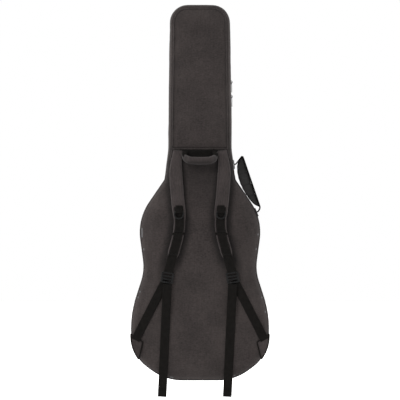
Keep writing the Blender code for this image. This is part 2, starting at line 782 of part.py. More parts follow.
def build_buckle(shop, name, side, buckle, lift):
    """The ladder-lock adjuster: a frame with three slots for the webbing."""
    wide = WEBBING_WIDTH + 2 * BUCKLE_MARGIN
    slot_width = WEBBING_WIDTH + 2 * BUCKLE_SLOT_SIDE
    loops = [round_rectangle(wide, BUCKLE_HEIGHT, BUCKLE_CORNER)]
    for row in (-1, 0, 1):
        middle = row * BUCKLE_PITCH
        loops.append(round_rectangle(slot_width, BUCKLE_SLOT, SLOT_CORNER, 0.0, middle))
    tilt = Matrix.Rotation(math.radians(-side * BUCKLE_TILT), 4, "Y")
    place = Matrix.Translation(buckle) @ tilt @ Matrix.Rotation(math.pi / 2, 4, "X")
    shop.add(flat(f"ladder_lock_{name}", loops, BUCKLE_THICK, place), "plastic", lift)


def build_tail(shop, name, buckle, lift):
    """The loose end of the strap's webbing, hanging from the adjuster past the bag's foot."""
    start_z = buckle.z - BUCKLE_HEIGHT / 2 - 2 * WEBBING
    front_y = BUCKLE_FRONT_Y - GAP - WEBBING / 2
    hinge = shop.axis(f"tail_{name}_hinge", (buckle.x, front_y, start_z), lift)
    end_z = -BODY_LENGTH - TAIL_OVERHANG
    near_y = BACK_OFFSET - GAP - WEBBING / 2
    line = []
    for row in range(TAIL_ROWS + 1):
        share = row / TAIL_ROWS
        z = start_z + (end_z - start_z) * share
        settle = eased(start_z - z, TAIL_STAND_OFF_RUN, TAIL_STAND_OFF_RUN * 2)
        y = front_y + (near_y - front_y) * settle
        line.append(Vector((buckle.x + TAIL_DRIFT * share, y, z)))
    even = [WEBBING_WIDTH] * len(line)
    tail = ribbon(f"strap_tail_{name}", line, across_back(line), even, WEBBING)
    shop.add(tail, "webbing", hinge)


def build_anchor(shop, name, side, buckle):
    """The triangle tab sewn into the back seam, and the webbing from it to the adjuster."""
    outline = bag_side()
    middle_z = -BODY_LENGTH + TAB_RISE
    high = middle_z + TAB_ABOVE_APEX
    low = high - TAB_HEIGHT
    base = between(outline, low, high)
    edge = point_at(outline, middle_z)
    tab = [Vector((edge.x - TAB_REACH, middle_z))] + base
    tab = [Vector((side * point.x, point.y)) for point in tab]
    face = slab(f"anchor_tab_{name}", [tab], TAB_FACE_Y, TAB_FACE_Y + TAB_THICK)
    shop.add(face, "heather")

    start = Vector((buckle.x + side * ANCHOR_TOP_SHIFT, 0.0, buckle.z - BUCKLE_HEIGHT / 4))
    end = Vector((side * (edge.x - TAB_REACH / 3), 0.0, middle_z + WEBBING_WIDTH / 4))
    start.y = BUCKLE_BACK_Y + GAP + WEBBING / 2
    end.y = TAB_FACE_Y - GAP - WEBBING / 2
    line = [start.lerp(end, row / 6) for row in range(7)]
    even = [WEBBING_WIDTH] * len(line)
    webbing = ribbon(f"anchor_webbing_{name}", line, across_back(line), even, WEBBING)
    shop.add(webbing, "webbing")


def build_grab_handle(shop):
    """The padded grab handle: a webbing staple sewn in the seam, through a padded sleeve."""
    hinge = shop.axis("grab_handle_hinge", HANDLE_HINGE)
    half = HANDLE_SPAN / 2 - HANDLE_STRIP / 2
    leg = HANDLE_HINGE.z - GAP
    corners = [(-half, leg), (-half, 0.0), (half, 0.0), (half, leg)]
    staple = [corners[0]] + rounded(corners, [HANDLE_BEND] * 2) + [corners[-1]]
    path = [Vector((x, HANDLE_HINGE.y * eased(z, 0.0, leg), z)) for x, z in staple]
    widths = [HANDLE_STRIP] * len(path)
    strip = ribbon("grab_handle_webbing", path, across_back(path), widths, HANDLE_WEBBING)
    shop.add(strip, "webbing", hinge)
    play = HANDLE_SLEEVE_PLAY
    outer = round_rectangle(HANDLE_HEIGHT, HANDLE_THICK, HANDLE_GRIP_CORNER)
    inner = round_rectangle(HANDLE_STRIP + play, HANDLE_WEBBING + play, play / 2)
    length = 2 * (half - HANDLE_BEND) - 2 * GAP
    place = Matrix.Rotation(math.pi / 2, 4, "Y")
    shop.add(flat("grab_handle_grip", [outer, inner], length, place), "heather", hinge)


def side_anchor(drop):
    """A point on the gusset at a drop below the handle, and the way out of the bag there."""
    side = bag_side()
    here = point_at(side, -drop)
    above = point_at(side, -drop + SLOPE_STEP)
    below = point_at(side, -drop - SLOPE_STEP)
    out = rotated((above - below).normalized(), -math.pi / 2)
    return here, out


def build_side_handle(shop):
    """The side handle: webbing sewn flat to the gusset at two places, and its padded grip."""
    foot = {}
    for name, drop in (("upper", SIDE_HANDLE_TOP_DROP), ("lower", SIDE_HANDLE_FOOT_DROP)):
        here, out = side_anchor(drop)
        centre = here + out * (GAP + WEBBING / 2)
        place = Matrix.Translation((centre.x, SIDE_HANDLE_Y, centre.y))
        place @= Matrix.Rotation(-math.atan2(out.y, out.x), 4, "Y")
        size = (WEBBING, WEBBING_WIDTH, WEBBING_WIDTH)
        shop.add(block(f"side_handle_anchor_{name}", size, place), "webbing")
        foot[name] = here + out * SIDE_HANDLE_STANDOFF
    line = foot["lower"] - foot["upper"]
    hinge_at = (foot["upper"] + foot["lower"]) / 2
    hinge = shop.axis("side_handle_hinge", (hinge_at.x, SIDE_HANDLE_Y, hinge_at.y))
    out = rotated(line.normalized(), math.pi / 2)
    shoulder = line.normalized() * SIDE_HANDLE_SHOULDER
    top = foot["upper"] + out * SIDE_HANDLE_REACH - shoulder
    run = (foot["lower"] + out * SIDE_HANDLE_FOOT_REACH - shoulder - top).normalized()
    low = top + run * SIDE_HANDLE_LENGTH
    corners = [foot["upper"], top, low, foot["lower"]]
    bends = rounded(corners, [SIDE_HANDLE_BEND] * 2)
    route = [Vector((x, SIDE_HANDLE_Y, z)) for x, z in [corners[0]] + bends + [corners[-1]]]
    across = [Vector((0.0, 1.0, 0.0))] * len(route)
    even = [WEBBING_WIDTH] * len(route)
    webbing = ribbon("side_handle_webbing", route, across, even, WEBBING)
    shop.add(webbing, "webbing", hinge)

    into = rotated(run, -math.pi / 2)
    face = into * (WEBBING / 2 + GAP)
    length = SIDE_HANDLE_LENGTH - 2 * SIDE_GRIP_START
    grip = []
    for step in range(SIDE_GRIP_STEPS + 1):
        share = step / SIDE_GRIP_STEPS
        bulge = math.sin(math.pi * share**SIDE_GRIP_SKEW) * SIDE_GRIP_BULGE
        along = SIDE_GRIP_START + length * share
        grip.append(top + run * along + face + into * bulge)
    y_low = SIDE_HANDLE_Y - SIDE_GRIP_THICK / 2
    solid = slab("side_handle_grip", [grip], y_low, y_low + SIDE_GRIP_THICK)
    shop.add(solid, "webbing", hinge)


def main():
    """Builds the bag from the shell outwards."""
    clear_scene()
    shop = Shop()
    build_half(shop, "back", "rear", BACK_OFFSET, ZIP_Y)
    build_inside(shop)
    high, low = spine_heights()
    outline = bag_side()
    middle = (point_at(outline, high) + point_at(outline, low)) / 2
    lid = shop.axis("lid_hinge", (-middle.x, ZIP_Y, middle.y))
    build_half(shop, "front", "front", FRONT_Y, ZIP_Y, lid)
    build_pocket(shop, lid)
    build_sliders(shop, lid)
    for name, side in (("left", -1), ("right", 1)):
        build_strap(shop, name, side)
    build_grab_handle(shop)
    build_side_handle(shop)


main()
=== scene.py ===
"""A padded gig bag for an electric guitar, hung up with its shoulder straps in view.

Metres, +Z up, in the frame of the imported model. The back of the bag, with the straps, faces -Y.
Every soft piece is rebuilt here as stuffed cloth, webbing or piping over its plain solid.
"""

import json
import logging
import math
from dataclasses import dataclass, field
from enum import Enum
from typing import Iterable, Optional, Sequence

import bmesh
import bpy
import numpy as np
from mathutils import Matrix, Vector, noise
from mathutils.bvhtree import BVHTree


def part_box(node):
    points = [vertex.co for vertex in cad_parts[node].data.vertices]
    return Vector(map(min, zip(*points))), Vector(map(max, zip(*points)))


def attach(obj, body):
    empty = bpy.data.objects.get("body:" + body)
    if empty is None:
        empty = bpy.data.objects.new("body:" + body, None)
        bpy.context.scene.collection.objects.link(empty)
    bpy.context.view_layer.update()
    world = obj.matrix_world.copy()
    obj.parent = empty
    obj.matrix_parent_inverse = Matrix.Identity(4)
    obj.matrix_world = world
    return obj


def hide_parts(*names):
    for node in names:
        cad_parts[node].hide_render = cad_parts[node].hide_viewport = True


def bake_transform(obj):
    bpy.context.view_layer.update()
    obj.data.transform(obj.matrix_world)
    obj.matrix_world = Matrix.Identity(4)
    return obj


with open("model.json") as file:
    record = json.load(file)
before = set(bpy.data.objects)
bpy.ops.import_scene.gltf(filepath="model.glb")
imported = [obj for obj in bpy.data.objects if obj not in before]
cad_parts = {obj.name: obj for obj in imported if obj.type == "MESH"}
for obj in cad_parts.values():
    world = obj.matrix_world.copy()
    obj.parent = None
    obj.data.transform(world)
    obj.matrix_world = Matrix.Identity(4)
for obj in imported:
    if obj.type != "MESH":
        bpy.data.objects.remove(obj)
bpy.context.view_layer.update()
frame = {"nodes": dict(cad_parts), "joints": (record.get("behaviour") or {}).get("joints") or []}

LOG = logging.getLogger("gig_bag")
Colour = tuple[float, float, float]
Flat = tuple[float, float]
Run = tuple[Sequence[Vector], Vector | Sequence[Vector]]

BACK_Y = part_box("back_cover_lower")[0].y
FRONT_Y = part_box("front_cover")[1].y
ZIP_Y = (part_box("rear_zip")[1].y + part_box("front_zip")[0].y) / 2
SEAM_Z = (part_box("back_cover_upper")[0].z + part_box("back_cover_lower")[1].z) / 2
LINING_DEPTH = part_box("back_lining")[1].y - BACK_Y
WEBBING_WIDTH = 0.025
STRAP_ROUTE = (
    (0.0616, -0.0300), (0.0675, 0.0126), (0.0669, 0.0546), (0.0624, 0.1106),
    (0.0574, 0.1666), (0.0613, 0.2086), (0.0784, 0.2730), (0.0905, 0.3170),
)
WEBBING = 0.0016
OFF_BACK = Vector((0.0, -1.0, 0.0))
OFF_FRONT = Vector((0.0, 1.0, 0.0))
UP = Vector((0.0, 0.0, 1.0))
RIGHT = Vector((1.0, 0.0, 0.0))


class Axis(Enum):
    """What a pattern follows: the piece's place, or the cloth's own run."""

    PLACE = "Object"
    RUN = "UV"


class Side(Enum):
    """The two shoulder straps, by the way they lie from the middle."""

    LEFT = -1
    RIGHT = 1

    @property
    def label(self) -> str:
        """The side's name in lower case."""
        return self.name.lower()


# --- Finishes ------------------------------------------------------------------------------


class Wiring:
    """A material's node tree, with short calls for the nodes that the finishes share."""

    def __init__(self, name: str) -> None:
        """Starts a material with one Principled shader.

        Args:
            name: The material's name.
        """
        self.material = bpy.data.materials.new(name)
        self.material.use_nodes = True
        self.nodes = self.material.node_tree.nodes
        self.links = self.material.node_tree.links
        self.shader = self.nodes["Principled BSDF"]

    def node(self, kind: str, **settings: object) -> bpy.types.Node:
        """Adds a node.

        Args:
            kind: The node's type.
            settings: Properties of the node, such as its operation.

        Returns:
            The node.
        """
        made = self.nodes.new(kind)
        for key, value in settings.items():
            setattr(made, key, value)
        return made

    def join(self, source: bpy.types.NodeSocket, target: bpy.types.NodeSocket) -> None:
        """Links an output to an input."""
        self.links.new(source, target)

    def place(self, follows: Axis, stretch: Sequence[float] = (1.0, 1.0, 1.0)) -> bpy.types.NodeSocket:
        """Coordinates for a pattern, stretched by a factor along each axis.

        Args:
            follows: Whether the pattern follows the piece's place or its run.
            stretch: The factor along each axis.

        Returns:
            The stretched coordinates.
        """
        coordinates = self.node("ShaderNodeTexCoord")
        mapping = self.node("ShaderNodeMapping")
        mapping.inputs["Scale"].default_value = stretch
        self.join(coordinates.outputs[follows.value], mapping.inputs["Vector"])
        return mapping.outputs["Vector"]

    def noise(self, where: bpy.types.NodeSocket, scale: float, detail: float) -> bpy.types.NodeSocket:
        """A noise pattern.

        Args:
            where: The coordinates.
            scale: Features for each unit.
            detail: Octaves.

        Returns:
            The noise's value.
        """
        texture = self.node("ShaderNodeTexNoise")
        texture.inputs["Scale"].default_value = scale
        texture.inputs["Detail"].default_value = detail
        self.join(where, texture.inputs["Vector"])
        return texture.outputs["Fac"]

    def wave(self, where: bpy.types.NodeSocket, pitch: float, direction: str) -> bpy.types.NodeSocket:
        """Even bands of a real pitch.

        Args:
            where: The coordinates, in metres.
            pitch: The distance from band to band, in metres.
            direction: X, Y, Z or DIAGONAL.

        Returns:
            The bands' value.
        """
        texture = self.node("ShaderNodeTexWave", bands_direction=direction)
        texture.inputs["Scale"].default_value = math.tau / 20 / pitch
        self.join(where, texture.inputs["Vector"])
        return texture.outputs["Fac"]

    def sum(self, first: bpy.types.NodeSocket, second: bpy.types.NodeSocket,
            operation: str = "ADD") -> bpy.types.NodeSocket:
        """Two values combined.

        Args:
            first: One value.
            second: The other.
            operation: What is done with them.

        Returns:
            The result.
        """
        made = self.node("ShaderNodeMath", operation=operation)
        self.join(first, made.inputs[0])
        self.join(second, made.inputs[1])
        return made.outputs[0]

    def times(self, value: bpy.types.NodeSocket, factor: float) -> bpy.types.NodeSocket:
        """A value times a number."""
        made = self.node("ShaderNodeMath", operation="MULTIPLY")
        self.join(value, made.inputs[0])
        made.inputs[1].default_value = factor
        return made.outputs[0]

    def ramp(self, value: bpy.types.NodeSocket,
             stops: Sequence[tuple[float, Colour]]) -> bpy.types.NodeSocket:
        """Colours along a value.

        Args:
            value: The value, from 0 to 1.
            stops: Places and their colours, lowest first.

        Returns:
            The colour.
        """
        made = self.node("ShaderNodeValToRGB")
        ramp = made.color_ramp
        while len(ramp.elements) < len(stops):
            ramp.elements.new(1.0)
        for element, (where, colour) in zip(ramp.elements, stops):
            element.position = where
            element.color = (*colour, 1.0)
        self.join(value, made.inputs["Fac"])
        return made.outputs["Color"]

    def shade(self, colour: bpy.types.NodeSocket, layer: str, strength: float) -> bpy.types.NodeSocket:
        """Darkens a colour where a layer painted on the mesh says.

        Args:
            colour: The colour.
            layer: The painted layer's name, which is 0 where nothing is painted.
            strength: How dark a full coat makes it.

        Returns:
            The darkened colour.
        """
        paint = self.node("ShaderNodeAttribute", attribute_name=layer)
        dark = self.node("ShaderNodeMix", data_type="RGBA", blend_type="MULTIPLY")
        self.join(self.times(paint.outputs["Fac"], strength), dark.inputs["Factor"])
        self.join(colour, dark.inputs["A"])
        dark.inputs["B"].default_value = (0.0, 0.0, 0.0, 1.0)
        return dark.outputs["Result"]

    def bump(self, height: bpy.types.NodeSocket, strength: float, distance: float) -> None:
        """Sets the relief.

        Args:
            height: The height's value.
            strength: How strongly it shows, from 0 to 1.
            distance: The relief's height in metres.
        """
        made = self.node("ShaderNodeBump")
        made.inputs["Strength"].default_value = strength
        made.inputs["Distance"].default_value = distance
        self.join(height, made.inputs["Height"])
        self.join(made.outputs["Normal"], self.shader.inputs["Normal"])


@dataclass(frozen=True)
class Cloth:
    """Woven cloth or webbing: its yarn colours, mottling, thread pitch and nap."""

    name: str
    dark: Colour
    light: Colour
    fleck: float
    thread: float
    relief: float
    roughness: float
    sheen: float
    follows: Axis = Axis.PLACE
    stretch: tuple[float, float, float] = (1.0, 1.0, 1.0)

    def make(self) -> bpy.types.Material:
        """Two yarns mixed by fleck, worn unevenly, with a plain weave's relief.

        Returns:
            The material.
        """
        wiring = Wiring(self.name)
        flecks = wiring.noise(wiring.place(self.follows, self.stretch), 1 / self.fleck, 4.0)
        plain = wiring.place(self.follows)
        wear = wiring.times(wiring.noise(plain, 14.0, 2.0), 0.35)
        streaks = wiring.noise(wiring.place(self.follows, (1.0, 1.0, 0.12)), 420.0, 2.0)
        mottling = wiring.sum(wiring.sum(wiring.times(flecks, 0.55), wear), wiring.times(streaks, 0.25))
        colour = wiring.ramp(mottling, ((0.40, self.dark), (0.76, self.light)))
        # Darkened where the mesh's 'seam' layer is painted: painted shade in seams, grooves and channels,
        # and on the back between and beside the straps.
        wiring.join(wiring.shade(colour, "seam", 0.75), wiring.shader.inputs["Base Color"])
        across, along = ("X", "Z") if self.follows is Axis.PLACE else ("X", "Y")
        weave = wiring.sum(wiring.wave(plain, self.thread, across),
                           wiring.wave(plain, self.thread, along))
        wiring.bump(wiring.sum(weave, wiring.noise(plain, 260.0, 3.0)), self.relief, 0.0003)
        wiring.shader.inputs["Roughness"].default_value = self.roughness
        wiring.shader.inputs["Sheen Weight"].default_value = self.sheen
        wiring.shader.inputs["Sheen Roughness"].default_value = 0.55
        wiring.shader.inputs["Specular IOR Level"].default_value = 0.12
        return wiring.material


@dataclass(frozen=True)
class Webbing:
    """Woven webbing, with ribs across its run and a selvedge down each edge."""

    name: str
    dark: Colour
    light: Colour
    rib: float
    roughness: float

    def make(self) -> bpy.types.Material:
        """Ribs and yarns that follow the webbing's own run.

        Returns:
            The material.
        """
        wiring = Wiring(self.name)
        run = wiring.place(Axis.RUN)
        ribs = wiring.wave(run, self.rib, "Y")
        yarns = wiring.wave(run, self.rib * 0.7, "X")
        twill = wiring.sum(ribs, yarns, "MULTIPLY")
        worn = wiring.noise(run, 90.0, 3.0)
        mottling = wiring.sum(wiring.times(twill, 0.5), wiring.times(worn, 0.5))
        colour = wiring.ramp(mottling, ((0.15, self.dark), (0.75, self.light)))
        wiring.join(wiring.shade(colour, "seam", 0.6), wiring.shader.inputs["Base Color"])
        wiring.bump(twill, 0.55, 0.0004)
        wiring.shader.inputs["Roughness"].default_value = self.roughness
        wiring.shader.inputs["Specular IOR Level"].default_value = 0.04
        return wiring.material


@dataclass(frozen=True)
class Moulding:
    """Hard stock: moulded plastic, thread or plated metal, with a fine grain and handling marks."""

    name: str
    dark: Colour
    light: Colour
    grain: float
    roughness: float
    metallic: float = 0.0
    relief: float = 0.15
    gloss: float = 0.08

    def make(self) -> bpy.types.Material:
        """A faint grain in colour, gloss and relief.

        Returns:
            The material.
        """
        wiring = Wiring(self.name)
        where = wiring.place(Axis.PLACE)
        grain = wiring.noise(where, 1 / self.grain, 4.0)
        marks = wiring.noise(where, 60.0, 3.0)
        colour = wiring.ramp(marks, ((0.3, self.dark), (0.7, self.light)))
        wiring.join(colour, wiring.shader.inputs["Base Color"])
        spread = wiring.node("ShaderNodeMapRange")
        spread.inputs["To Min"].default_value = self.roughness * 0.8
        spread.inputs["To Max"].default_value = min(1.0, self.roughness * 1.25)
        wiring.join(grain, spread.inputs["Value"])
        wiring.join(spread.outputs["Result"], wiring.shader.inputs["Roughness"])
        wiring.bump(grain, self.relief, 0.0001)
        wiring.shader.inputs["Metallic"].default_value = self.metallic
        wiring.shader.inputs["Specular IOR Level"].default_value = self.gloss
        return wiring.material


class Wardrobe:
    """Every finish of the bag, each made once."""

    def __init__(self) -> None:
        """Makes the materials."""
        finishes = {
            "heather": Cloth("heather_cloth", (0.0098, 0.0078, 0.0074), (0.0272, 0.0217, 0.0206),
                             0.0035, 0.0012, 0.55, 0.95, 0.05, Axis.PLACE, (0.6, 1.0, 1.5)),
            "strap_heather": Cloth("strap_heather_cloth", (0.0104, 0.0082, 0.0079),
                                   (0.0290, 0.0232, 0.0226), 0.0030, 0.0012, 0.5, 0.95, 0.05,
                                   Axis.PLACE, (1.8, 1.0, 0.35)),
            "mesh": Cloth("spacer_mesh", (0.003, 0.0028, 0.0026), (0.016, 0.0155, 0.015),
                          0.0020, 0.0026, 0.9, 0.85, 0.03),
            "lining": Cloth("nylon_lining", (0.012, 0.012, 0.013), (0.030, 0.030, 0.032),
                            0.0060, 0.0008, 0.35, 0.55, 0.03),
            "plush": Cloth("brushed_plush", (0.016, 0.016, 0.017), (0.042, 0.042, 0.044),
                           0.0015, 0.0010, 0.6, 0.95, 0.25),
            "tape": Cloth("zip_tape", (0.004, 0.004, 0.0045), (0.011, 0.011, 0.0115),
                          0.0020, 0.0007, 0.4, 0.8, 0.04),
            "webbing": Webbing("black_webbing", (0.0016, 0.0014, 0.0012), (0.0068, 0.0060, 0.0054),
                               0.0022, 0.8),
            "thread": Moulding("sewing_thread", (0.004, 0.0036, 0.0034), (0.012, 0.011, 0.0105),
                               0.0005, 0.7),
            "plastic": Moulding("moulded_acetal", (0.003, 0.003, 0.003), (0.006, 0.006, 0.006),
                                0.0004, 0.50),
            "coil": Moulding("zip_coil", (0.005, 0.005, 0.005), (0.012, 0.012, 0.012),
                             0.0006, 0.45),
            "metal": Moulding("black_nickel", (0.022, 0.022, 0.024), (0.045, 0.045, 0.048),
                              0.0005, 0.30, 1.0, 0.06),
        }
        self.materials = {name: finish.make() for name, finish in finishes.items()}

    def dress(self, obj: bpy.types.Object, *names: str) -> bpy.types.Object:
        """Gives a piece its finishes, in the order of its material slots.

        Args:
            obj: The piece.
            names: The finishes.

        Returns:
            The piece.
        """
        obj.data.materials.clear()
        for name in names:
            obj.data.materials.append(self.materials[name])
        return obj


# --- Meshes --------------------------------------------------------------------------------


def link(name: str, mesh: bpy.types.Mesh) -> bpy.types.Object:
    """A mesh as an object in the scene, at the origin."""
    obj = bpy.data.objects.new(name, mesh)
    bpy.context.scene.collection.objects.link(obj)
    return obj


def points_of(obj: bpy.types.Object) -> np.ndarray:
    """The piece's points, one to a row."""
    flat = np.empty(len(obj.data.vertices) * 3)
    obj.data.vertices.foreach_get("co", flat)
    return flat.reshape(-1, 3)


def put_points(obj: bpy.types.Object, points: np.ndarray) -> None:
    """Moves the piece's points to new places, one to a row."""
    obj.data.vertices.foreach_set("co", points.ravel())
    obj.data.update()


def normals_of(obj: bpy.types.Object) -> np.ndarray:
    """The way out of the piece at each point, one to a row."""
    flat = np.empty(len(obj.data.vertices) * 3)
    obj.data.vertices.foreach_get("normal", flat)
    return flat.reshape(-1, 3)


def settled(obj: bpy.types.Object) -> bpy.types.Object:
    """Turns the piece's modifiers into plain mesh.

    Args:
        obj: The piece.

    Returns:
        The same piece, with no modifiers.
    """
    bpy.context.view_layer.update()
    graph = bpy.context.evaluated_depsgraph_get()
    mesh = bpy.data.meshes.new_from_object(obj.evaluated_get(graph))
    obj.modifiers.clear()
    obj.data = mesh
    return obj


def smoothed(obj: bpy.types.Object) -> bpy.types.Object:
    """Shades the piece smooth."""
    obj.data.polygons.foreach_set("use_smooth", [True] * len(obj.data.polygons))
    return obj


def formed(name: str, mesh: bmesh.types.BMesh) -> bpy.types.Object:
    """A closed mesh as a piece, with its faces turned outwards.

    Args:
        name: The piece's name.
        mesh: The mesh, which is used up.

    Returns:
        The piece.
    """
    bmesh.ops.recalc_face_normals(mesh, faces=mesh.faces)
    data = bpy.data.meshes.new(name)
    mesh.to_mesh(data)
    mesh.free()
    return link(name, data)


def lofted(name: str, rings: Sequence[Sequence[Vector]]) -> bpy.types.Object:
    """A closed skin over rings of points, with a cap at each end.

    Args:
        name: The piece's name.
        rings: The rings, each with the same number of points.

    Returns:
        The piece.
    """
    mesh = bmesh.new()
    rows = [[mesh.verts.new(point) for point in ring] for ring in rings]
    for near, far in zip(rows, rows[1:]):
        for i in range(len(near)):
            k = (i + 1) % len(near)
            mesh.faces.new((near[i], near[k], far[k], far[i]))
    mesh.faces.new(rows[0])
    mesh.faces.new(rows[-1])
    return formed(name, mesh)


def remeshed(obj: bpy.types.Object, size: float, relaxed: int = 0) -> bpy.types.Object:
    """Gives a closed piece even faces, and softens its edges.

    Args:
        obj: The piece.
        size: The faces' size.
        relaxed: How often the points are averaged.

    Returns:
        The piece.
    """
    even = obj.modifiers.new("even", "REMESH")
    even.mode = "VOXEL"
    even.voxel_size = size
    if relaxed:
        obj.modifiers.new("soften", "SMOOTH").iterations = relaxed
    return settled(obj)


def hand_over(obj: bpy.types.Object, slot: str, body: str, *nodes: str) -> None:
    """Puts a piece on the body that it rides on, and hides the plain solids that it stands for.

    Args:
        obj: The piece.
        slot: Its material slot; not used.
        body: The body that it rides on.
        nodes: The plain solids that it stands for.
    """
    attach(obj, body)
    if nodes:
        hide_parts(*nodes)


def joint_at(name: str) -> Vector:
    """Where a joint is."""
    return Vector(next(joint["pos_m"] for joint in frame["joints"] if joint["name"] == name))


def stood(flat: Iterable[Vector], y: float) -> list[Vector]:
    """A flat line stood upright at a depth."""
    return [Vector((point.x, y, point.y)) for point in flat]


def divided(obj: bpy.types.Object, levels: int) -> bpy.types.Object:
    """Subdivides the piece and keeps the result.

    Args:
        obj: The piece.
        levels: How often.

    Returns:
        The piece.
    """
    surface = obj.modifiers.new("smooth", "SUBSURF")
    surface.levels = levels
    surface.render_levels = levels
    return smoothed(settled(obj))


def eased(value: float, start: float, end: float) -> float:
    """0 before start, 1 after end and smooth between them."""
    share = min(1.0, max(0.0, (value - start) / (end - start)))
    return share * share * (3 - 2 * share)


def flat_section(width: float, thickness: float, steps: int = 8) -> list[Flat]:
    """A strap's cross-section, with rounded edges and points across its faces.

    Args:
        width: The strap's width.
        thickness: Its thickness.
        steps: Spaces across each face.

    Returns:
        The section's points, once round.
    """
    edge = thickness / 2
    reach = width / 2 - edge
    face = [(-reach + 2 * reach * i / steps, edge) for i in range(steps + 1)]
    half = face + [(reach + edge * math.sin(math.pi * i / 4), edge * math.cos(math.pi * i / 4))
                   for i in (1, 2, 3)]
    return half + [(-x, -y) for x, y in half]


def round_section(wide: float, thick: float, count: int = 8) -> list[Flat]:
    """An oval cross-section of two radii."""
    turns = [math.tau * i / count for i in range(count)]
    return [(wide * math.cos(turn), thick * math.sin(turn)) for turn in turns]


def pillow_section(width: float, thickness: float, steps: int = 24, square: float = 0.7) -> list[Flat]:
    """A stuffed strip's cross-section: full in the middle and pinched at its edges.

    Args:
        width: The strip's width.
        thickness: Its thickness in the middle.
        steps: Points round it.
        square: Under 1, the section gets squarer.

    Returns:
        The section's points, once round.
    """
    points = []
    for i in range(steps):
        turn = math.tau * i / steps
        across = math.copysign(abs(math.cos(turn)) ** square, math.cos(turn))
        up = math.copysign(abs(math.sin(turn)) ** square, math.sin(turn))
        points.append((across * width / 2, up * thickness / 2))
    return points


def sweep(name: str, path: Sequence[Vector], across: Vector | Sequence[Vector],
          section: Sequence[Flat], scales: Optional[Sequence[Flat]] = None,
          closed: bool = False) -> bpy.types.Object:
    """A solid of one cross-section along a path, with a run of its own for its pattern.

    Args:
        name: The piece's name.
        path: The centre line.
        across: The way that the section's first axis points, or one for each point of the path.
        section: The cross-section's points.
        scales: For each point of the path, factors on the section's two axes.
        closed: Whether the path comes back to its start.

    Returns:
        The piece.
    """
    count = len(path)
    round_count = len(section)
    ways = [across] * count if isinstance(across, Vector) else across
    mesh = bmesh.new()
    rings = []
    for i, point in enumerate(path):
        ahead = path[(i + 1) % count] if closed else path[min(i + 1, count - 1)]
        behind = path[i - 1] if closed else path[max(i - 1, 0)]
        along = (ahead - behind).normalized()
        sideways = (ways[i] - along * ways[i].dot(along)).normalized()
        outward = along.cross(sideways)
        wide, thick = scales[i] if scales else (1.0, 1.0)
        rings.append([mesh.verts.new(point + sideways * (x * wide) + outward * (y * thick))
                      for x, y in section])
    girth = [0.0]
    for a, b in zip(section, list(section[1:]) + [section[0]]):
        girth.append(girth[-1] + math.hypot(b[0] - a[0], b[1] - a[1]))
    run = [0.0]
    for i in range(count):
        run.append(run[-1] + (path[(i + 1) % count] - path[i]).length)
    layer = mesh.loops.layers.uv.new("run")
    for i in range(count if closed else count - 1):
        near, far = rings[i], rings[(i + 1) % count]
        for j in range(round_count):
            k = (j + 1) % round_count
            face = mesh.faces.new((near[j], near[k], far[k], far[j]))
            places = ((j, i), (j + 1, i), (j + 1, i + 1), (j, i + 1))
            for loop, (u, v) in zip(face.loops, places):
                loop[layer].uv = (girth[u], run[v])
    if not closed:
        for ring in (rings[0], rings[-1]):
            cap = mesh.faces.new(ring)
            for loop, turn in zip(cap.loops, range(round_count)):
                loop[layer].uv = section[turn]
    return smoothed(formed(name, mesh))


def across_back(path: Sequence[Vector]) -> list[Vector]:
    """For each point of a strap that lies on the back, the direction across it."""
    return [-way for way in outward(path)]


def smooth(points: Sequence[Vector], steps: int) -> list[Vector]:
    """A smooth curve through points.

    Args:
        points: The points.
        steps: Steps from one to the next.

    Returns:
        The curve's points.
    """
    ends = [points[0] * 2 - points[1]] + list(points) + [points[-1] * 2 - points[-2]]
    line = []
    for a, b, c, d in zip(ends, ends[1:], ends[2:], ends[3:]):
        for step in range(steps):
            t = step / steps
            line.append((b * 2 + (c - a) * t + (a * 2 - b * 5 + c * 4 - d) * t**2
                         + (b * 3 - a - c * 3 + d) * t**3) / 2)
    return line + [points[-1].copy()]


def evenly(points: Sequence[Vector], step: float) -> list[Vector]:
    """The polyline cut into even steps.

    Args:
        points: The polyline.
        step: About how long a step is.

    Returns:
        The points, with both ends kept.
    """
    lengths = [0.0]
    for a, b in zip(points, points[1:]):
        lengths.append(lengths[-1] + (b - a).length)
    count = max(1, round(lengths[-1] / step))
    cut = []
    span = 0
    for i in range(count + 1):
        goal = lengths[-1] * i / count
        while span < len(points) - 2 and lengths[span + 1] < goal:
            span += 1
        share = (goal - lengths[span]) / max(1e-9, lengths[span + 1] - lengths[span])
        cut.append(points[span].lerp(points[span + 1], min(1.0, share)))
    return cut


def paint(obj: bpy.types.Object, layer: str, values: np.ndarray) -> None:
    """Paints a layer of numbers on a piece's points.

    Args:
        obj: The piece.
        layer: The layer's name.
        values: One number for each point.
    """
    attribute = obj.data.attributes.new(layer, "FLOAT", "POINT")
    attribute.data.foreach_set("value", values.astype(np.float32))


def crumpled(obj: bpy.types.Object, height: float, scale: Sequence[float], seed: float,
             where: Optional[np.ndarray] = None) -> None:
    """Moves the points in and out by a smooth random amount, as cloth over padding lies.

    Args:
        obj: The piece.
        height: The largest move.
        scale: Waves to the metre along each axis.
        seed: A place in the noise.
        where: For each point, the share of the move it makes.
    """
    points = points_of(obj)
    ways = normals_of(obj)
    stretch = np.array(scale)
    amounts = np.array([noise.fractal(Vector(p * stretch + seed), 0.8, 2.2, 3) for p in points])
    if where is not None:
        amounts = amounts * where
    put_points(obj, points + ways * (amounts * height)[:, None])


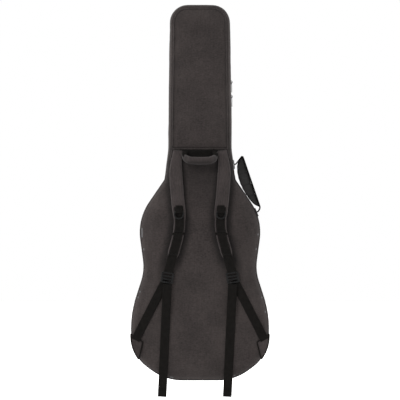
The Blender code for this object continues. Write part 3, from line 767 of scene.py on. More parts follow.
def stuffed(obj: bpy.types.Object, pins: np.ndarray, pressure: float, cap: float,
            frames: int = 14, stiffness: float = 12.0) -> bpy.types.Object:
    """Fills a closed cloth piece by simulation, and keeps the shape that it takes.

    Args:
        obj: The piece.
        pins: True for each point that a seam holds.
        pressure: The filling's pressure.
        cap: How far a point may move.
        frames: The simulation's frames.
        stiffness: The cloth's stiffness.

    Returns:
        The piece.
    """
    rest = points_of(obj)
    sewn = obj.vertex_groups.new(name="sewn")
    sewn.add([int(i) for i in np.nonzero(pins)[0]], 1.0, "REPLACE")
    cloth = obj.modifiers.new("cloth", "CLOTH")
    settings = cloth.settings
    settings.quality = 4
    settings.mass = 0.2
    settings.tension_stiffness = stiffness
    settings.compression_stiffness = stiffness
    settings.shear_stiffness = stiffness / 2
    settings.bending_stiffness = 0.4
    settings.use_pressure = True
    settings.uniform_pressure_force = pressure
    settings.effector_weights.gravity = 0.0
    if pins.any():
        settings.vertex_group_mass = sewn.name
    cloth.point_cache.frame_start = 1
    cloth.point_cache.frame_end = frames
    for number in range(1, frames + 1):
        bpy.context.scene.frame_set(number)
    filled = settled(obj)
    bpy.context.scene.frame_set(1)
    moved = points_of(filled) - rest
    size = np.linalg.norm(moved, axis=1)
    moved *= np.minimum(1.0, cap / np.maximum(size, 1e-9))[:, None]
    put_points(filled, rest + moved)
    filled.vertex_groups.clear()
    return filled


class RunTree:
    """A Geometry Nodes tree that sets one small rounded piece after another along a line."""

    INPUTS = (
        ("Pitch", "NodeSocketFloat"), ("Size", "NodeSocketVector"), ("Lean", "NodeSocketFloat"),
        ("Seed", "NodeSocketInt"), ("Finish", "NodeSocketMaterial"),
    )

    def __init__(self) -> None:
        """Builds the tree."""
        self.tree = bpy.data.node_groups.new("run_of_pieces", "GeometryNodeTree")
        face = self.tree.interface
        face.new_socket("Geometry", in_out="INPUT", socket_type="NodeSocketGeometry")
        self.sockets = {
            name: face.new_socket(name, in_out="INPUT", socket_type=kind).identifier
            for name, kind in self.INPUTS
        }
        face.new_socket("Geometry", in_out="OUTPUT", socket_type="NodeSocketGeometry")
        self.wire()

    def node(self, kind: str, **settings: object) -> bpy.types.Node:
        """Adds a node with its properties set."""
        made = self.tree.nodes.new(kind)
        for key, value in settings.items():
            setattr(made, key, value)
        return made

    def wire(self) -> None:
        """Line to curve, even points, a rounded piece on each, realized and dressed."""
        join = self.tree.links.new
        given = self.node("NodeGroupInput").outputs
        curve = self.node("GeometryNodeMeshToCurve")
        spaced = self.node("GeometryNodeResampleCurve", mode="LENGTH")
        ball = self.node("GeometryNodeMeshUVSphere")
        ball.inputs["Segments"].default_value = 6
        ball.inputs["Rings"].default_value = 4
        ball.inputs["Radius"].default_value = 0.5
        along = self.node("FunctionNodeAlignRotationToVector", axis="X")
        upright = self.node("FunctionNodeAlignRotationToVector", axis="Z", pivot_axis="X")
        outward = self.node("GeometryNodeInputNamedAttribute", data_type="FLOAT_VECTOR")
        outward.inputs["Name"].default_value = "out"
        leaning = self.node("FunctionNodeRotateRotation", rotation_space="LOCAL")
        tilt = self.node("ShaderNodeCombineXYZ")
        uneven = self.node("FunctionNodeRandomValue", data_type="FLOAT")
        uneven.inputs[2].default_value = 0.92
        uneven.inputs[3].default_value = 1.06
        scale = self.node("ShaderNodeVectorMath", operation="SCALE")
        spread = self.node("GeometryNodeInstanceOnPoints")
        real = self.node("GeometryNodeRealizeInstances")
        dressed = self.node("GeometryNodeSetMaterial")
        done = self.node("NodeGroupOutput").inputs
        join(given["Geometry"], curve.inputs["Mesh"])
        join(curve.outputs["Curve"], spaced.inputs["Curve"])
        join(given["Pitch"], spaced.inputs["Length"])
        join(self.node("GeometryNodeInputTangent").outputs["Tangent"], along.inputs["Vector"])
        join(along.outputs["Rotation"], upright.inputs["Rotation"])
        join(outward.outputs["Attribute"], upright.inputs["Vector"])
        join(given["Lean"], tilt.inputs["Z"])
        join(upright.outputs["Rotation"], leaning.inputs["Rotation"])
        join(tilt.outputs["Vector"], leaning.inputs["Rotate By"])
        join(given["Size"], scale.inputs["Vector"])
        join(given["Seed"], uneven.inputs["Seed"])
        join(uneven.outputs[1], scale.inputs["Scale"])
        join(spaced.outputs["Curve"], spread.inputs["Points"])
        join(ball.outputs["Mesh"], spread.inputs["Instance"])
        join(leaning.outputs["Rotation"], spread.inputs["Rotation"])
        join(scale.outputs["Vector"], spread.inputs["Scale"])
        join(spread.outputs["Instances"], real.inputs["Geometry"])
        join(real.outputs["Geometry"], dressed.inputs["Geometry"])
        join(given["Finish"], dressed.inputs["Material"])
        join(dressed.outputs["Geometry"], done["Geometry"])

    def lay(self, name: str, lines: Iterable[Run], pitch: float, size: Sequence[float],
            finish: bpy.types.Material, lean: float = 0.0, seed: int = 1) -> bpy.types.Object:
        """Sets pieces along lines and keeps them as one plain mesh.

        Args:
            name: The result's name.
            lines: Lines, each with the way out of the cloth, for the line or for each point.
            pitch: The distance from piece to piece.
            size: Each piece's size along the line, across it and out of the cloth.
            finish: The pieces' material.
            lean: How far each piece is turned about the way out, in radians.
            seed: The seed of their unevenness.

        Returns:
            The pieces.
        """
        points, edges, ways = [], [], []
        for line, out in lines:
            first = len(points)
            points += [tuple(point) for point in line]
            edges += [(i, i + 1) for i in range(first, len(points) - 1)]
            given = [out] * len(line) if isinstance(out, Vector) else list(out)
            ways += [tuple(way) for way in given]
        mesh = bpy.data.meshes.new(name)
        mesh.from_pydata(points, edges, [])
        attribute = mesh.attributes.new("out", "FLOAT_VECTOR", "POINT")
        attribute.data.foreach_set("vector", np.array(ways, np.float32).ravel())
        obj = link(name, mesh)
        run = obj.modifiers.new("run", "NODES")
        run.node_group = self.tree
        values = {"Pitch": pitch, "Size": tuple(size), "Lean": lean, "Seed": seed, "Finish": finish}
        for key, value in values.items():
            run[self.sockets[key]] = value
        return smoothed(settled(obj))


# --- The bag's outline ---------------------------------------------------------------------


@dataclass
class Outline:
    """The bag's outline as its back is seen: where the flanks of each bulge would meet."""

    top: float = 0.442
    foot: float = -0.621
    corners: tuple[tuple[float, float, float], ...] = (
        (0.0845, 0.442, 0.050),
        (0.0900, 0.032, 0.150),
        (0.1003, -0.053, 0.008),
        (0.1765, -0.1646, 0.150),
        (0.1568, -0.3104, 0.135),
        (0.1955, -0.431, 0.270),
        (0.1940, -0.550, 0.112),
        (0.0985, -0.621, 0.150),
    )
    arc_step: float = math.radians(5)

    def side(self, inset: float = 0.0) -> list[Vector]:
        """The +X side from the top edge to the bottom edge, moved inwards by inset.

        Args:
            inset: How far inside the outline.

        Returns:
            The line's points, with x across and y up.
        """
        points = [Vector((x, z)) for x, z, radius in self.corners]
        points = [Vector((-points[0].x, self.top))] + points + [Vector((-points[-1].x, self.foot))]
        line = []
        for index, (x, z, radius) in enumerate(self.corners):
            before, here, after = points[index:index + 3]
            back, ahead = before - here, after - here
            turn = (-back).angle_signed(ahead)
            half = math.tan(abs(turn) / 2)
            reach = min(radius * half, 0.49 * back.length, 0.49 * ahead.length)
            radius = reach / half
            middle = (back.normalized() + ahead.normalized()).normalized()
            centre = here + middle * (radius / math.cos(turn / 2))
            spoke = (here + back.normalized() * reach - centre) / radius
            radius += -inset if turn > 0 else inset
            steps = max(2, math.ceil(abs(turn) / self.arc_step))
            for step in range(steps + 1):
                angle = -turn * step / steps
                line.append(centre + Matrix.Rotation(angle, 2) @ spoke * radius)
        return line

    def loop(self, inset: float = 0.0) -> list[Vector]:
        """The whole outline, moved inwards by inset."""
        side = self.side(inset)
        return side + [Vector((-point.x, point.y)) for point in reversed(side)]

    def upright(self, inset: float, y: float, step: float) -> list[Vector]:
        """The whole outline in even steps, standing up at a depth.

        Args:
            inset: How far inside the outline.
            y: The depth.
            step: The length of a step.

        Returns:
            The points, which close on themselves.
        """
        loop = stood(self.loop(inset), y)
        return evenly(loop + [loop[0]], step)[:-1]

    def at(self, z: float, inset: float = 0.0) -> float:
        """How far from the middle the +X side is at a height.

        Args:
            z: The height.
            inset: How far inside the outline.

        Returns:
            The distance.
        """
        side = self.side(inset)
        for start, end in zip(side, side[1:]):
            if (start.y - z) * (end.y - z) <= 0 and start.y != end.y:
                return start.lerp(end, (z - start.y) / (end.y - start.y)).x
        raise ValueError(f"the outline doesn't reach height {z}")

    def depth(self, flat: np.ndarray) -> np.ndarray:
        """How far inside the outline flat points lie, less than 0 outside it.

        Args:
            flat: Points, one to a row, with x across and z up.

        Returns:
            The distance for each.
        """
        starts = np.array([tuple(point) for point in self.loop()])
        spans = np.roll(starts, -1, axis=0) - starts
        lengths = (spans**2).sum(1)
        result = np.empty(len(flat))
        for first in range(0, len(flat), 4000):
            part = flat[first:first + 4000]
            away = part[:, None, :] - starts[None]
            share = np.clip((away * spans).sum(2) / lengths, 0.0, 1.0)
            near = np.linalg.norm(away - share[..., None] * spans, axis=2).min(1)
            crossing = (starts[:, 1] > part[:, 1:]) != ((starts + spans)[:, 1] > part[:, 1:])
            rise = np.where(spans[:, 1] == 0, 1.0, spans[:, 1])
            meets = starts[:, 0] + (part[:, 1:] - starts[:, 1]) * spans[:, 0] / rise
            inside = (crossing & (part[:, :1] < meets)).sum(1) % 2 == 1
            result[first:first + 4000] = np.where(inside, near, -near)
        return result


# --- Sub-assemblies ------------------------------------------------------------------------


@dataclass
class Stage:
    """Camera, floor and light."""

    eye: tuple[float, float, float] = (0.0, -4.0, -0.1106)
    lens: float = 128.6
    floor_z: float = -0.72
    floor_size: float = 9.0

    def build(self) -> None:
        """Makes the camera, the floor, the daylight and the lamps."""
        self.camera()
        self.floor()
        self.light()

    def camera(self) -> None:
        """A long lens, level with the middle of the bag, square to its back."""
        camera = bpy.data.objects.new("camera", bpy.data.cameras.new("camera"))
        camera.data.lens = self.lens
        camera.location = self.eye
        camera.rotation_euler = (math.pi / 2, 0.0, 0.0)
        bpy.context.scene.collection.objects.link(camera)
        bpy.context.scene.camera = camera

    def floor(self) -> None:
        """A plain pale floor under the hanging bag."""
        mesh = bpy.data.meshes.new("floor")
        half = self.floor_size / 2
        corners = [(-half, -half), (half, -half), (half, half), (-half, half)]
        mesh.from_pydata([(x, y, self.floor_z) for x, y in corners], [], [(0, 1, 2, 3)])
        floor = link("floor", mesh)
        paper = bpy.data.materials.new("studio_paper")
        paper.use_nodes = True
        shader = paper.node_tree.nodes["Principled BSDF"]
        shader.inputs["Base Color"].default_value = (0.93, 0.93, 0.93, 1.0)
        shader.inputs["Roughness"].default_value = 0.9
        shader.inputs["Emission Color"].default_value = (1.0, 1.0, 1.0, 1.0)
        shader.inputs["Emission Strength"].default_value = 0.35
        floor.data.materials.append(paper)

    def light(self) -> None:
        """White surroundings, with large soft lamps above and on both sides."""
        world = bpy.data.worlds.new("studio")
        world.use_nodes = True
        world.node_tree.nodes["Background"].inputs["Color"].default_value = (1.0, 1.0, 1.0, 1.0)
        world.node_tree.nodes["Background"].inputs["Strength"].default_value = 1.0
        bpy.context.scene.world = world
        bpy.context.scene.view_settings.view_transform = "Standard"
        lamps = (
            ("key", (-1.9, -2.2, 2.0), 1.2, 95.0),
            ("left_wing", (-2.4, 0.3, 0.7), 1.2, 75.0),
            ("right_wing", (2.4, 0.3, 0.7), 1.2, 70.0),
            ("top", (0.0, -0.2, 2.6), 0.8, 30.0),
        )
        aim = Vector((0.0, 0.0, -0.1))
        for name, place, size, power in lamps:
            lamp = bpy.data.lights.new(name, "AREA")
            lamp.size = size
            lamp.energy = power
            obj = bpy.data.objects.new(name, lamp)
            obj.location = place
            obj.rotation_euler = (aim - Vector(place)).to_track_quat("-Z", "Y").to_euler()
            bpy.context.scene.collection.objects.link(obj)


class Maker:
    """What every sub-assembly needs: the outline, the finishes and the tree for repeats."""

    def __init__(self) -> None:
        """Makes the shared tools."""
        self.outline = Outline()
        self.wardrobe = Wardrobe()
        self.runs = RunTree()
        self.shell: Optional[BVHTree] = None

    def dress(self, obj: bpy.types.Object, *names: str) -> bpy.types.Object:
        """Gives a piece its finishes."""
        return self.wardrobe.dress(obj, *names)

    def fit(self, obj: bpy.types.Object, finish: str, slot: str, body: str, *nodes: str) -> None:
        """Dresses a piece and puts it on the body that it rides on.

        Args:
            obj: The piece.
            finish: Its finish.
            slot: Its material slot; not used.
            body: The body that it rides on.
            nodes: The plain solids that it stands for.
        """
        self.dress(obj, finish)
        hand_over(obj, slot, body, *nodes)

    def stitches(self, name: str, body: str, lines: Iterable[Run], pitch: float = 0.0042) -> None:
        """A run of sewn stitches along lines.

        Args:
            name: The piece's name.
            body: The body that it rides on.
            lines: Lines, each with its way out of the cloth.
            pitch: From stitch to stitch.
        """
        size = (pitch * 0.72, 0.0009, 0.0007)
        seam = self.runs.lay(name, lines, pitch, size, self.wardrobe.materials["thread"])
        hand_over(seam, "black_webbing", body)

    def remember(self, shell: bpy.types.Object) -> None:
        """Keeps the shell's surface, for what lies on it."""
        graph = bpy.context.evaluated_depsgraph_get()
        self.shell = BVHTree.FromObject(shell, graph)

    def cover_shade(self, points: np.ndarray) -> np.ndarray:
        """How much painted shadow falls on the back beside the straps that lie over it.

        Args:
            points: Points of the back.

        Returns:
            A share for each point.
        """
        route = [Vector((x, -drop)) for x, drop in STRAP_ROUTE]
        heights = np.array([-p.y for p in route])
        along = np.interp(-points[:, 2], heights, [p.x for p in route])
        off = np.abs(np.abs(points[:, 0]) - along)
        # Painted shadow: dark on the back under each strap and beside it, fading out about 32 mm from its
        # middle.
        beside = np.exp(-((off / 0.0325) ** 6)) * 0.9
        ends = np.clip((0.03 - points[:, 2]) / 0.03, 0, 1) * np.clip((points[:, 2] + 0.33) / 0.05, 0, 1)
        return beside * ends

    def surface(self, x: float, z: float) -> Vector:
        """The point of the bag's back at a place."""
        hit = self.shell.ray_cast(Vector((x, -1.0, z)), OFF_FRONT)[0]
        return hit if hit else Vector((x, BACK_Y, z))

    def on_back(self, x: float, z: float, off: float) -> Vector:
        """A point that stands off the bag's back."""
        point = self.surface(x, z)
        return Vector((x, point.y - off, z))


@dataclass
class Half:
    """One padded half of the bag: a tray of cloth, foam and lining, open at the zip."""

    maker: Maker
    name: str
    body: str
    face: float
    nodes: tuple[str, ...]
    piping_node: str
    zip_node: str
    seam_inset: float = 0.012
    roll: float = 0.085
    crown: float = 0.0026
    voxel: float = 0.0052
    wall: float = 0.0116
    tape_width: float = 0.0105
    tape_thick: float = 0.0012
    tooth_pitch: float = 0.0024
    shell: bpy.types.Object = field(init=False)

    @property
    def inward(self) -> int:
        """Whether the tray's floor lies on the low or the high side of the zip."""
        return 1 if ZIP_Y > self.face else -1

    @property
    def height(self) -> float:
        """From the face to the zip."""
        return abs(ZIP_Y - self.face)

    def at(self, depth: float) -> float:
        """The place of a depth below the face."""
        return self.face + self.inward * depth

    def build(self) -> None:
        """Makes the tray, its piping, its stitches and its half of the zip."""
        self.shell = self.tray()
        self.piping()
        self.zip()
        LOG.info("%s half: %d faces", self.name, len(self.shell.data.polygons))

    def rolled(self, height: float) -> float:
        """How far the face rolls over the bag's edge at a height: 0 on the neck, 1 on the body."""
        return eased(SEAM_Z - height, 0.0, self.roll)

    def seam_at(self, heights: np.ndarray) -> tuple[np.ndarray, np.ndarray]:
        """Where the face is sewn to the side.

        Args:
            heights: The heights to look at.

        Returns:
            The seam's inset from the outline and its depth below the face, at each height.
        """
        share = np.clip((SEAM_Z - heights) / self.roll, 0.0, 1.0)
        share = share * share * (3 - 2 * share)
        return (self.seam_inset + (0.0010 - self.seam_inset) * share, 0.0018 + 0.0112 * share)

    def profile(self) -> list[tuple[Flat, Flat]]:
        """The tray's cross-section, on the neck and on the body.

        Returns:
            For each corner, its inset and depth on the neck and on the body.
        """
        rim = self.height - 0.0034
        fold = [
            ((0.0200, 0.0), (0.0230, 0.0)), ((0.0160, 0.0002), (0.0150, 0.0008)),
            ((self.seam_inset, 0.0018), (0.0085, 0.0030)), ((0.0075, 0.0022), (0.0040, 0.0062)),
            ((0.0035, 0.0050), (0.0016, 0.0098)), ((0.0010, 0.0105), (0.0005, 0.0140)),
        ]
        plain = [
            (0.0, self.height * 0.45), (0.0, self.height - 0.0150),
            (0.0022, self.height - 0.0118), (0.0026, rim), (self.wall - 0.0003, rim),
            (self.wall, LINING_DEPTH + 0.0040), (0.0140, LINING_DEPTH), (0.0165, LINING_DEPTH),
        ]
        return fold + [(corner, corner) for corner in plain]

    def ring(self, neck: Flat, body: Flat) -> list[Vector]:
        """One line round the tray, which follows the neck's section above and the body's below.

        Args:
            neck: Its inset and depth on the neck.
            body: Its inset and depth on the body.

        Returns:
            The closed line.
        """
        line = []
        for high, low in zip(self.maker.outline.loop(neck[0]), self.maker.outline.loop(body[0])):
            share = self.rolled(high.y)
            flat = high.lerp(low, share)
            depth = neck[1] + (body[1] - neck[1]) * share
            line.append(Vector((flat.x, self.at(depth), flat.y)))
        return line

    def tray(self) -> bpy.types.Object:
        """The padded shell itself, filled, creased and dressed inside and out.

        Returns:
            The shell.
        """
        rings = [self.ring(neck, body) for neck, body in self.profile()]
        obj = remeshed(lofted(f"{self.name}_shell", rings), self.voxel)
        points = points_of(obj)
        inset = self.maker.outline.depth(points[:, [0, 2]])
        depth = (points[:, 1] - self.face) * self.inward
        outer = (depth < LINING_DEPTH / 2) | ((inset < self.wall / 2) & (depth < self.height - 0.006))
        self.crown_panel(obj, points, inset, depth)
        seam_in, seam_deep = self.seam_at(points[:, 2])
        seam = np.hypot(inset - seam_in, depth - seam_deep) < 0.0036
        cross = (np.abs(points[:, 2] - SEAM_Z) < 0.004) & (self.inward == 1)
        rim = depth > self.height - 0.012
        held = rim | (outer & (seam | cross))
        stuffed(obj, held, 2.2, 0.0022)
        self.crease(obj, outer, inset, depth)
        smoothed(obj)
        self.line_inside(obj)
        hand_over(obj, "heather_fabric", self.body, *self.nodes)
        return obj

    def crown_panel(self, obj: bpy.types.Object, points: np.ndarray, inset: np.ndarray,
                    depth: np.ndarray) -> None:
        """Raises the face between its seams, and fills the sides a little.

        Args:
            obj: The shell.
            points: Its points.
            inset: How far inside the outline each lies.
            depth: How far below the face each lies.
        """
        over = np.clip(inset - self.seam_at(points[:, 2])[0], 0.0, None)
        rise = self.crown * (1.0 - np.exp(-over / 0.016)) * (depth < LINING_DEPTH / 2)
        if self.inward == 1:
            rise *= 1.0 - 0.75 * np.exp(-((points[:, 2] - SEAM_Z) / 0.010) ** 2)
        points[:, 1] -= self.inward * rise
        put_points(obj, points)

    def crease(self, obj: bpy.types.Object, outer: np.ndarray, inset: np.ndarray,
               depth: np.ndarray) -> None:
        """Lays soft creases over the outside, draws the seams in, and paints shade along the seams and, on
        the back, between and beside the straps.

        Args:
            obj: The shell.
            outer: True for each point of the outside.
            inset: How far inside the outline each point lies.
            depth: How far below the face each point lies.
        """
        points = points_of(obj)
        seam_in, seam_deep = self.seam_at(points[:, 2])
        away = np.hypot(inset - seam_in, depth - seam_deep)
        free = np.clip((inset - seam_in) / 0.02, 0.0, 1.0)
        share = np.where(outer, 0.35 + 0.65 * free, 0.25)
        crumpled(obj, 0.0016, (7.0, 7.0, 17.0), 3.7 + self.face * 40, share)
        crumpled(obj, 0.0009, (16.0, 16.0, 28.0), 9.1 + self.face * 40, share)
        ways = normals_of(obj)
        edge = np.exp(-((away / 0.0038) ** 2)) * 0.7
        cross = np.exp(-((points[:, 2] - SEAM_Z) / 0.0042) ** 2)
        cross = cross * (depth < 0.02) * (inset > 0) * (self.inward == 1)
        tape = np.exp(-((depth - (self.height - 0.0125)) / 0.004) ** 2) * (inset < self.wall / 2)
        drawn = np.maximum(np.maximum(edge, cross), tape) * outer
        put_points(obj, points_of(obj) - ways * (drawn * 0.0016)[:, None])
        # Painted shade in the 'seam' layer: in the crease of the seam round the face, along the cross seam
        # and the zip tape's seam, and between the straps.
        near = np.exp(-((away / 0.0042) ** 2)) * 0.38
        rows = points[:, 2]
        between = np.exp(-((points[:, 0] / 0.050) ** 6)) * np.clip((0.03 - rows) / 0.04, 0, 1)
        between = between * np.clip((rows + 0.17) / 0.12, 0, 1) * (depth < 0.01) * (self.inward == 1)
        shade = np.maximum(np.maximum(near, cross * 0.8), np.maximum(tape, between * 0.62))
        # Painted shadow of the straps on the back beside them.
        if self.inward == 1:
            shade = np.maximum(shade, self.maker.cover_shade(points) * (depth < 0.01))
        paint(obj, "seam", np.clip(shade * outer, 0, 1))

    def line_inside(self, obj: bpy.types.Object) -> None:
        """Dresses the faces that look into the bag as lining and the rest as heather.

        Args:
            obj: The shell.
        """
        self.maker.dress(obj, "heather", "plush")
        count = len(obj.data.polygons)
        centres = np.empty(count * 3)
        obj.data.polygons.foreach_get("center", centres)
        centres = centres.reshape(-1, 3)
        inset = self.maker.outline.depth(centres[:, [0, 2]])
        depth = (centres[:, 1] - self.face) * self.inward
        wall = (inset > self.wall / 2) & (depth > LINING_DEPTH / 2)
        rim = depth > self.height - 0.0052
        obj.data.polygons.foreach_set("material_index", (wall | rim).astype(np.int32))

    def piping(self) -> None:
        """The corded piping in the seam round the face."""
        path = self.maker.outline.upright(self.seam_inset, self.face, 0.006)
        ways = outward(path + [path[0]])
        heights = np.array([point.z for point in path])
        for point, way, inset, depth in zip(path, ways, *self.seam_at(heights)):
            point += way * (self.seam_inset - inset)
            point.y = self.at(depth - 0.0004)
        piping = sweep(f"{self.name}_piping", path, OFF_FRONT, round_section(0.0014, 0.0014), closed=True)
        self.maker.fit(piping, "strap_heather", "heather_fabric", self.body, self.piping_node)

    def zip(self) -> None:
        """This half's zip tape, sewn round the opening, and its row of coil."""
        inward = self.inward
        tape_y = ZIP_Y - inward * (self.tape_width / 2 + 0.0014)
        run = zip_run(self.maker.outline, 0.0009)
        path = evenly(stood(run, tape_y), 0.006)
        section = flat_section(self.tape_width, self.tape_thick, 3)
        tape = sweep(f"{self.name}_zip_tape", path, OFF_FRONT, section)
        self.maker.fit(tape, "tape", "zip_chain", self.body, self.zip_node)
        coil_y = ZIP_Y - inward * 0.0009
        line = stood(zip_run(self.maker.outline, 0.0012), coil_y)
        size = (self.tooth_pitch * 0.62, 0.0042, 0.0020)
        coil = self.maker.runs.lay(f"{self.name}_zip_coil", [(line, outward(line))], self.tooth_pitch, size,
                                   self.maker.wardrobe.materials["coil"], 0.12 * inward)
        hand_over(coil, "zip_chain", self.body)
        edge_y = ZIP_Y - inward * (self.tape_width - 0.0012)
        line = stood(zip_run(self.maker.outline, 0.0003), edge_y)
        self.maker.stitches(f"{self.name}_zip_stitches", self.body, [(line, outward(line))])


def spine_heights() -> tuple[float, float]:
    """Top and foot of the spine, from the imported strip."""
    low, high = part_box("rear_spine_strip")
    return high.z, low.z


def zip_run(outline: Outline, inset: float) -> list[Vector]:
    """The outline from the spine's top, over the neck and round to the spine's foot.

    Args:
        outline: The bag's outline.
        inset: How far inside it.

    Returns:
        The flat line.
    """
    high, low = spine_heights()
    side = outline.side(inset)
    over = [Vector((-p.x, p.y)) for p in reversed(side) if p.y > high]
    under = [Vector((-p.x, p.y)) for p in reversed(side) if p.y < low]
    first = Vector((-outline.at(high, inset), high))
    last = Vector((-outline.at(low, inset), low))
    return [first] + over + side + under + [last]


def outward(line: Sequence[Vector]) -> list[Vector]:
    """The ways out of a line that goes round the bag clockwise as its back is seen.

    Args:
        line: The line.

    Returns:
        The way out at each point.
    """
    ways = []
    for i in range(len(line)):
        along = line[min(i + 1, len(line) - 1)] - line[max(i - 1, 0)]
        ways.append(OFF_BACK.cross(along).normalized())
    return ways


@dataclass
class Spine:
    """The cloth that the lid folds about, from one half to the other."""

    maker: Maker
    width: float = 0.026
    thick: float = 0.0016
    bend: float = 0.0065

    def build(self) -> None:
        """Makes the strip along the side, between the two halves."""
        high, low = spine_heights()
        side = [p for p in self.maker.outline.side(0.0004) if low < p.y < high]
        flat = [Vector((-self.maker.outline.at(low, 0.0004), low))]
        flat += [Vector((-p.x, p.y)) for p in reversed(side)]
        flat += [Vector((-self.maker.outline.at(high, 0.0004), high))]
        path = evenly(stood(flat, ZIP_Y), 0.005)
        strip = sweep("spine_cloth", path, OFF_FRONT, flat_section(self.width, self.thick, 14))
        self.maker.dress(strip, "heather")
        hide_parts("rear_spine_strip", "front_spine_strip")
        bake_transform(strip)
        LOG.info("spine: %.0f mm long", 1000 * (high - low))


@dataclass
class Pocket:
    """The flat pocket on the lid, with piped edges and a zip across its top."""

    maker: Maker
    inset: float = 0.022
    corner: float = 0.0045
    voxel: float = 0.0055
    puff: float = 0.0032
    zip_gap: float = 0.0050

    def build(self) -> None:
        """Makes the pocket, its piping and its zip."""
        low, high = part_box("pocket_panel")
        self.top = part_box("pocket_wall")[1].z
        self.face = high.y
        self.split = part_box("pocket_zip_lower")[1].z + 0.0008
        self.pouch()
        self.zip()
        LOG.info("pocket: %.0f mm wide, %.0f mm high", 1000 * (high.x - low.x), 1000 * (high.z - low.z))

    def loop(self, inset: float, low_cut: float, high_cut: float) -> list[Vector]:
        """The pocket's outline between two heights.

        Args:
            inset: How far inside the pocket's own edge.
            low_cut: No point is lower than this.
            high_cut: No point is higher than this.

        Returns:
            The closed flat line.
        """
        outline = self.maker.outline
        margin = self.inset + inset
        side = [p for p in outline.side(margin) if low_cut < p.y < high_cut]
        side = [Vector((outline.at(high_cut, margin), high_cut))] + side
        return side + [Vector((-p.x, p.y)) for p in reversed(side)]

    def pouch(self) -> None:
        """The pocket's stuffed front and its bellows side, as one closed piece."""
        root_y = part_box("pocket_wall")[0].y - 0.0015
        steps = ((0.0, root_y), (0.0, self.face - self.corner), (0.0010, self.face - 0.0015),
                 (0.0040, self.face - 0.0004), (0.0120, self.face))
        rings = [stood(self.loop(inset, -1.0, self.top - inset), y) for inset, y in steps]
        obj = remeshed(lofted("front_pocket", rings), self.voxel)
        points = points_of(obj)
        inset = self.maker.outline.depth(points[:, [0, 2]]) - self.inset
        inset = np.minimum(inset, self.top - points[:, 2])
        face = points[:, 1] > self.face - 0.004
        zip_band = np.abs(points[:, 2] - self.split) < self.zip_gap + 0.002
        held = ~face | (inset < 0.004) | zip_band
        points[:, 1] += self.puff * (1.0 - np.exp(-np.clip(inset, 0, None) / 0.02)) * (face & ~zip_band)
        put_points(obj, points)
        stuffed(obj, held, 2.0, 0.0035)
        share = np.clip(inset / 0.02, 0.1, 1.0) * face
        crumpled(obj, 0.0020, (9.0, 9.0, 16.0), 21.3, share)
        crumpled(obj, 0.0010, (24.0, 24.0, 30.0), 5.5, share)
        groove = np.exp(-((points[:, 2] - self.split) / self.zip_gap) ** 4) * face
        put_points(obj, points_of(obj) - normals_of(obj) * (groove * 0.0022)[:, None])
        # Painted shade in the 'seam' layer: along the pocket's edge by its piping and in the zip's groove.
        edge = np.exp(-((inset - 0.002) / 0.004) ** 2)
        paint(obj, "seam", np.clip(np.maximum(edge * 0.6, groove), 0, 1))
        smoothed(obj)
        self.maker.fit(obj, "heather", "heather_fabric", "lid", "pocket_wall", "pocket_panel")
        line = stood(self.loop(0.0022, -1.0, self.top - 0.0022), self.face - 0.0012)
        path = evenly(line + [line[0]], 0.006)[:-1]
        piping = sweep("pocket_piping", path, OFF_FRONT, round_section(0.0016, 0.0016), closed=True)
        self.maker.fit(piping, "webbing", "black_webbing", "lid")

    def zip(self) -> None:
        """Two tapes, the coil between them and the seams that hold them."""
        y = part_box("pocket_zip_lower")[1].y - 0.0006
        width = 0.0096
        seams = []
        for name, way in (("upper", 1), ("lower", -1)):
            z = self.split + way * (width / 2 + 0.0012)
            half = self.maker.outline.at(z, self.inset) - 0.006
            path = evenly([Vector((-half, y, z)), Vector((half, y, z))], 0.01)
            tape = sweep(f"pocket_zip_tape_{name}", path, UP, flat_section(width, 0.0012, 3))
            self.maker.fit(tape, "tape", "zip_chain", "lid", f"pocket_zip_{name}")
            edge = z + way * (width / 2 - 0.0018)
            seam = [Vector((-half, y + 0.0007, edge)), Vector((half, y + 0.0007, edge))]
            seams.append((seam, OFF_FRONT))
        half = self.maker.outline.at(self.split, self.inset) - 0.008
        line = [Vector((-half, y + 0.0004, self.split)), Vector((half, y + 0.0004, self.split))]
        coil = self.maker.runs.lay("pocket_zip_coil", [(line, OFF_FRONT)], 0.0024,
                                   (0.0015, 0.0056, 0.0018), self.maker.wardrobe.materials["coil"])
        hand_over(coil, "zip_chain", "lid")
        self.maker.stitches("pocket_zip_stitches", "lid", seams)


@dataclass
class Sliders:
    """The zips' sliders and pulls, which keep their own shapes."""

    maker: Maker

    def build(self) -> None:
        """Dresses the castings."""
        for name in ("upper", "lower", "pocket"):
            for part in ("slider", "pull"):
                self.maker.dress(frame["nodes"][f"{name}_{part}"], "metal")
        LOG.info("sliders: 3")


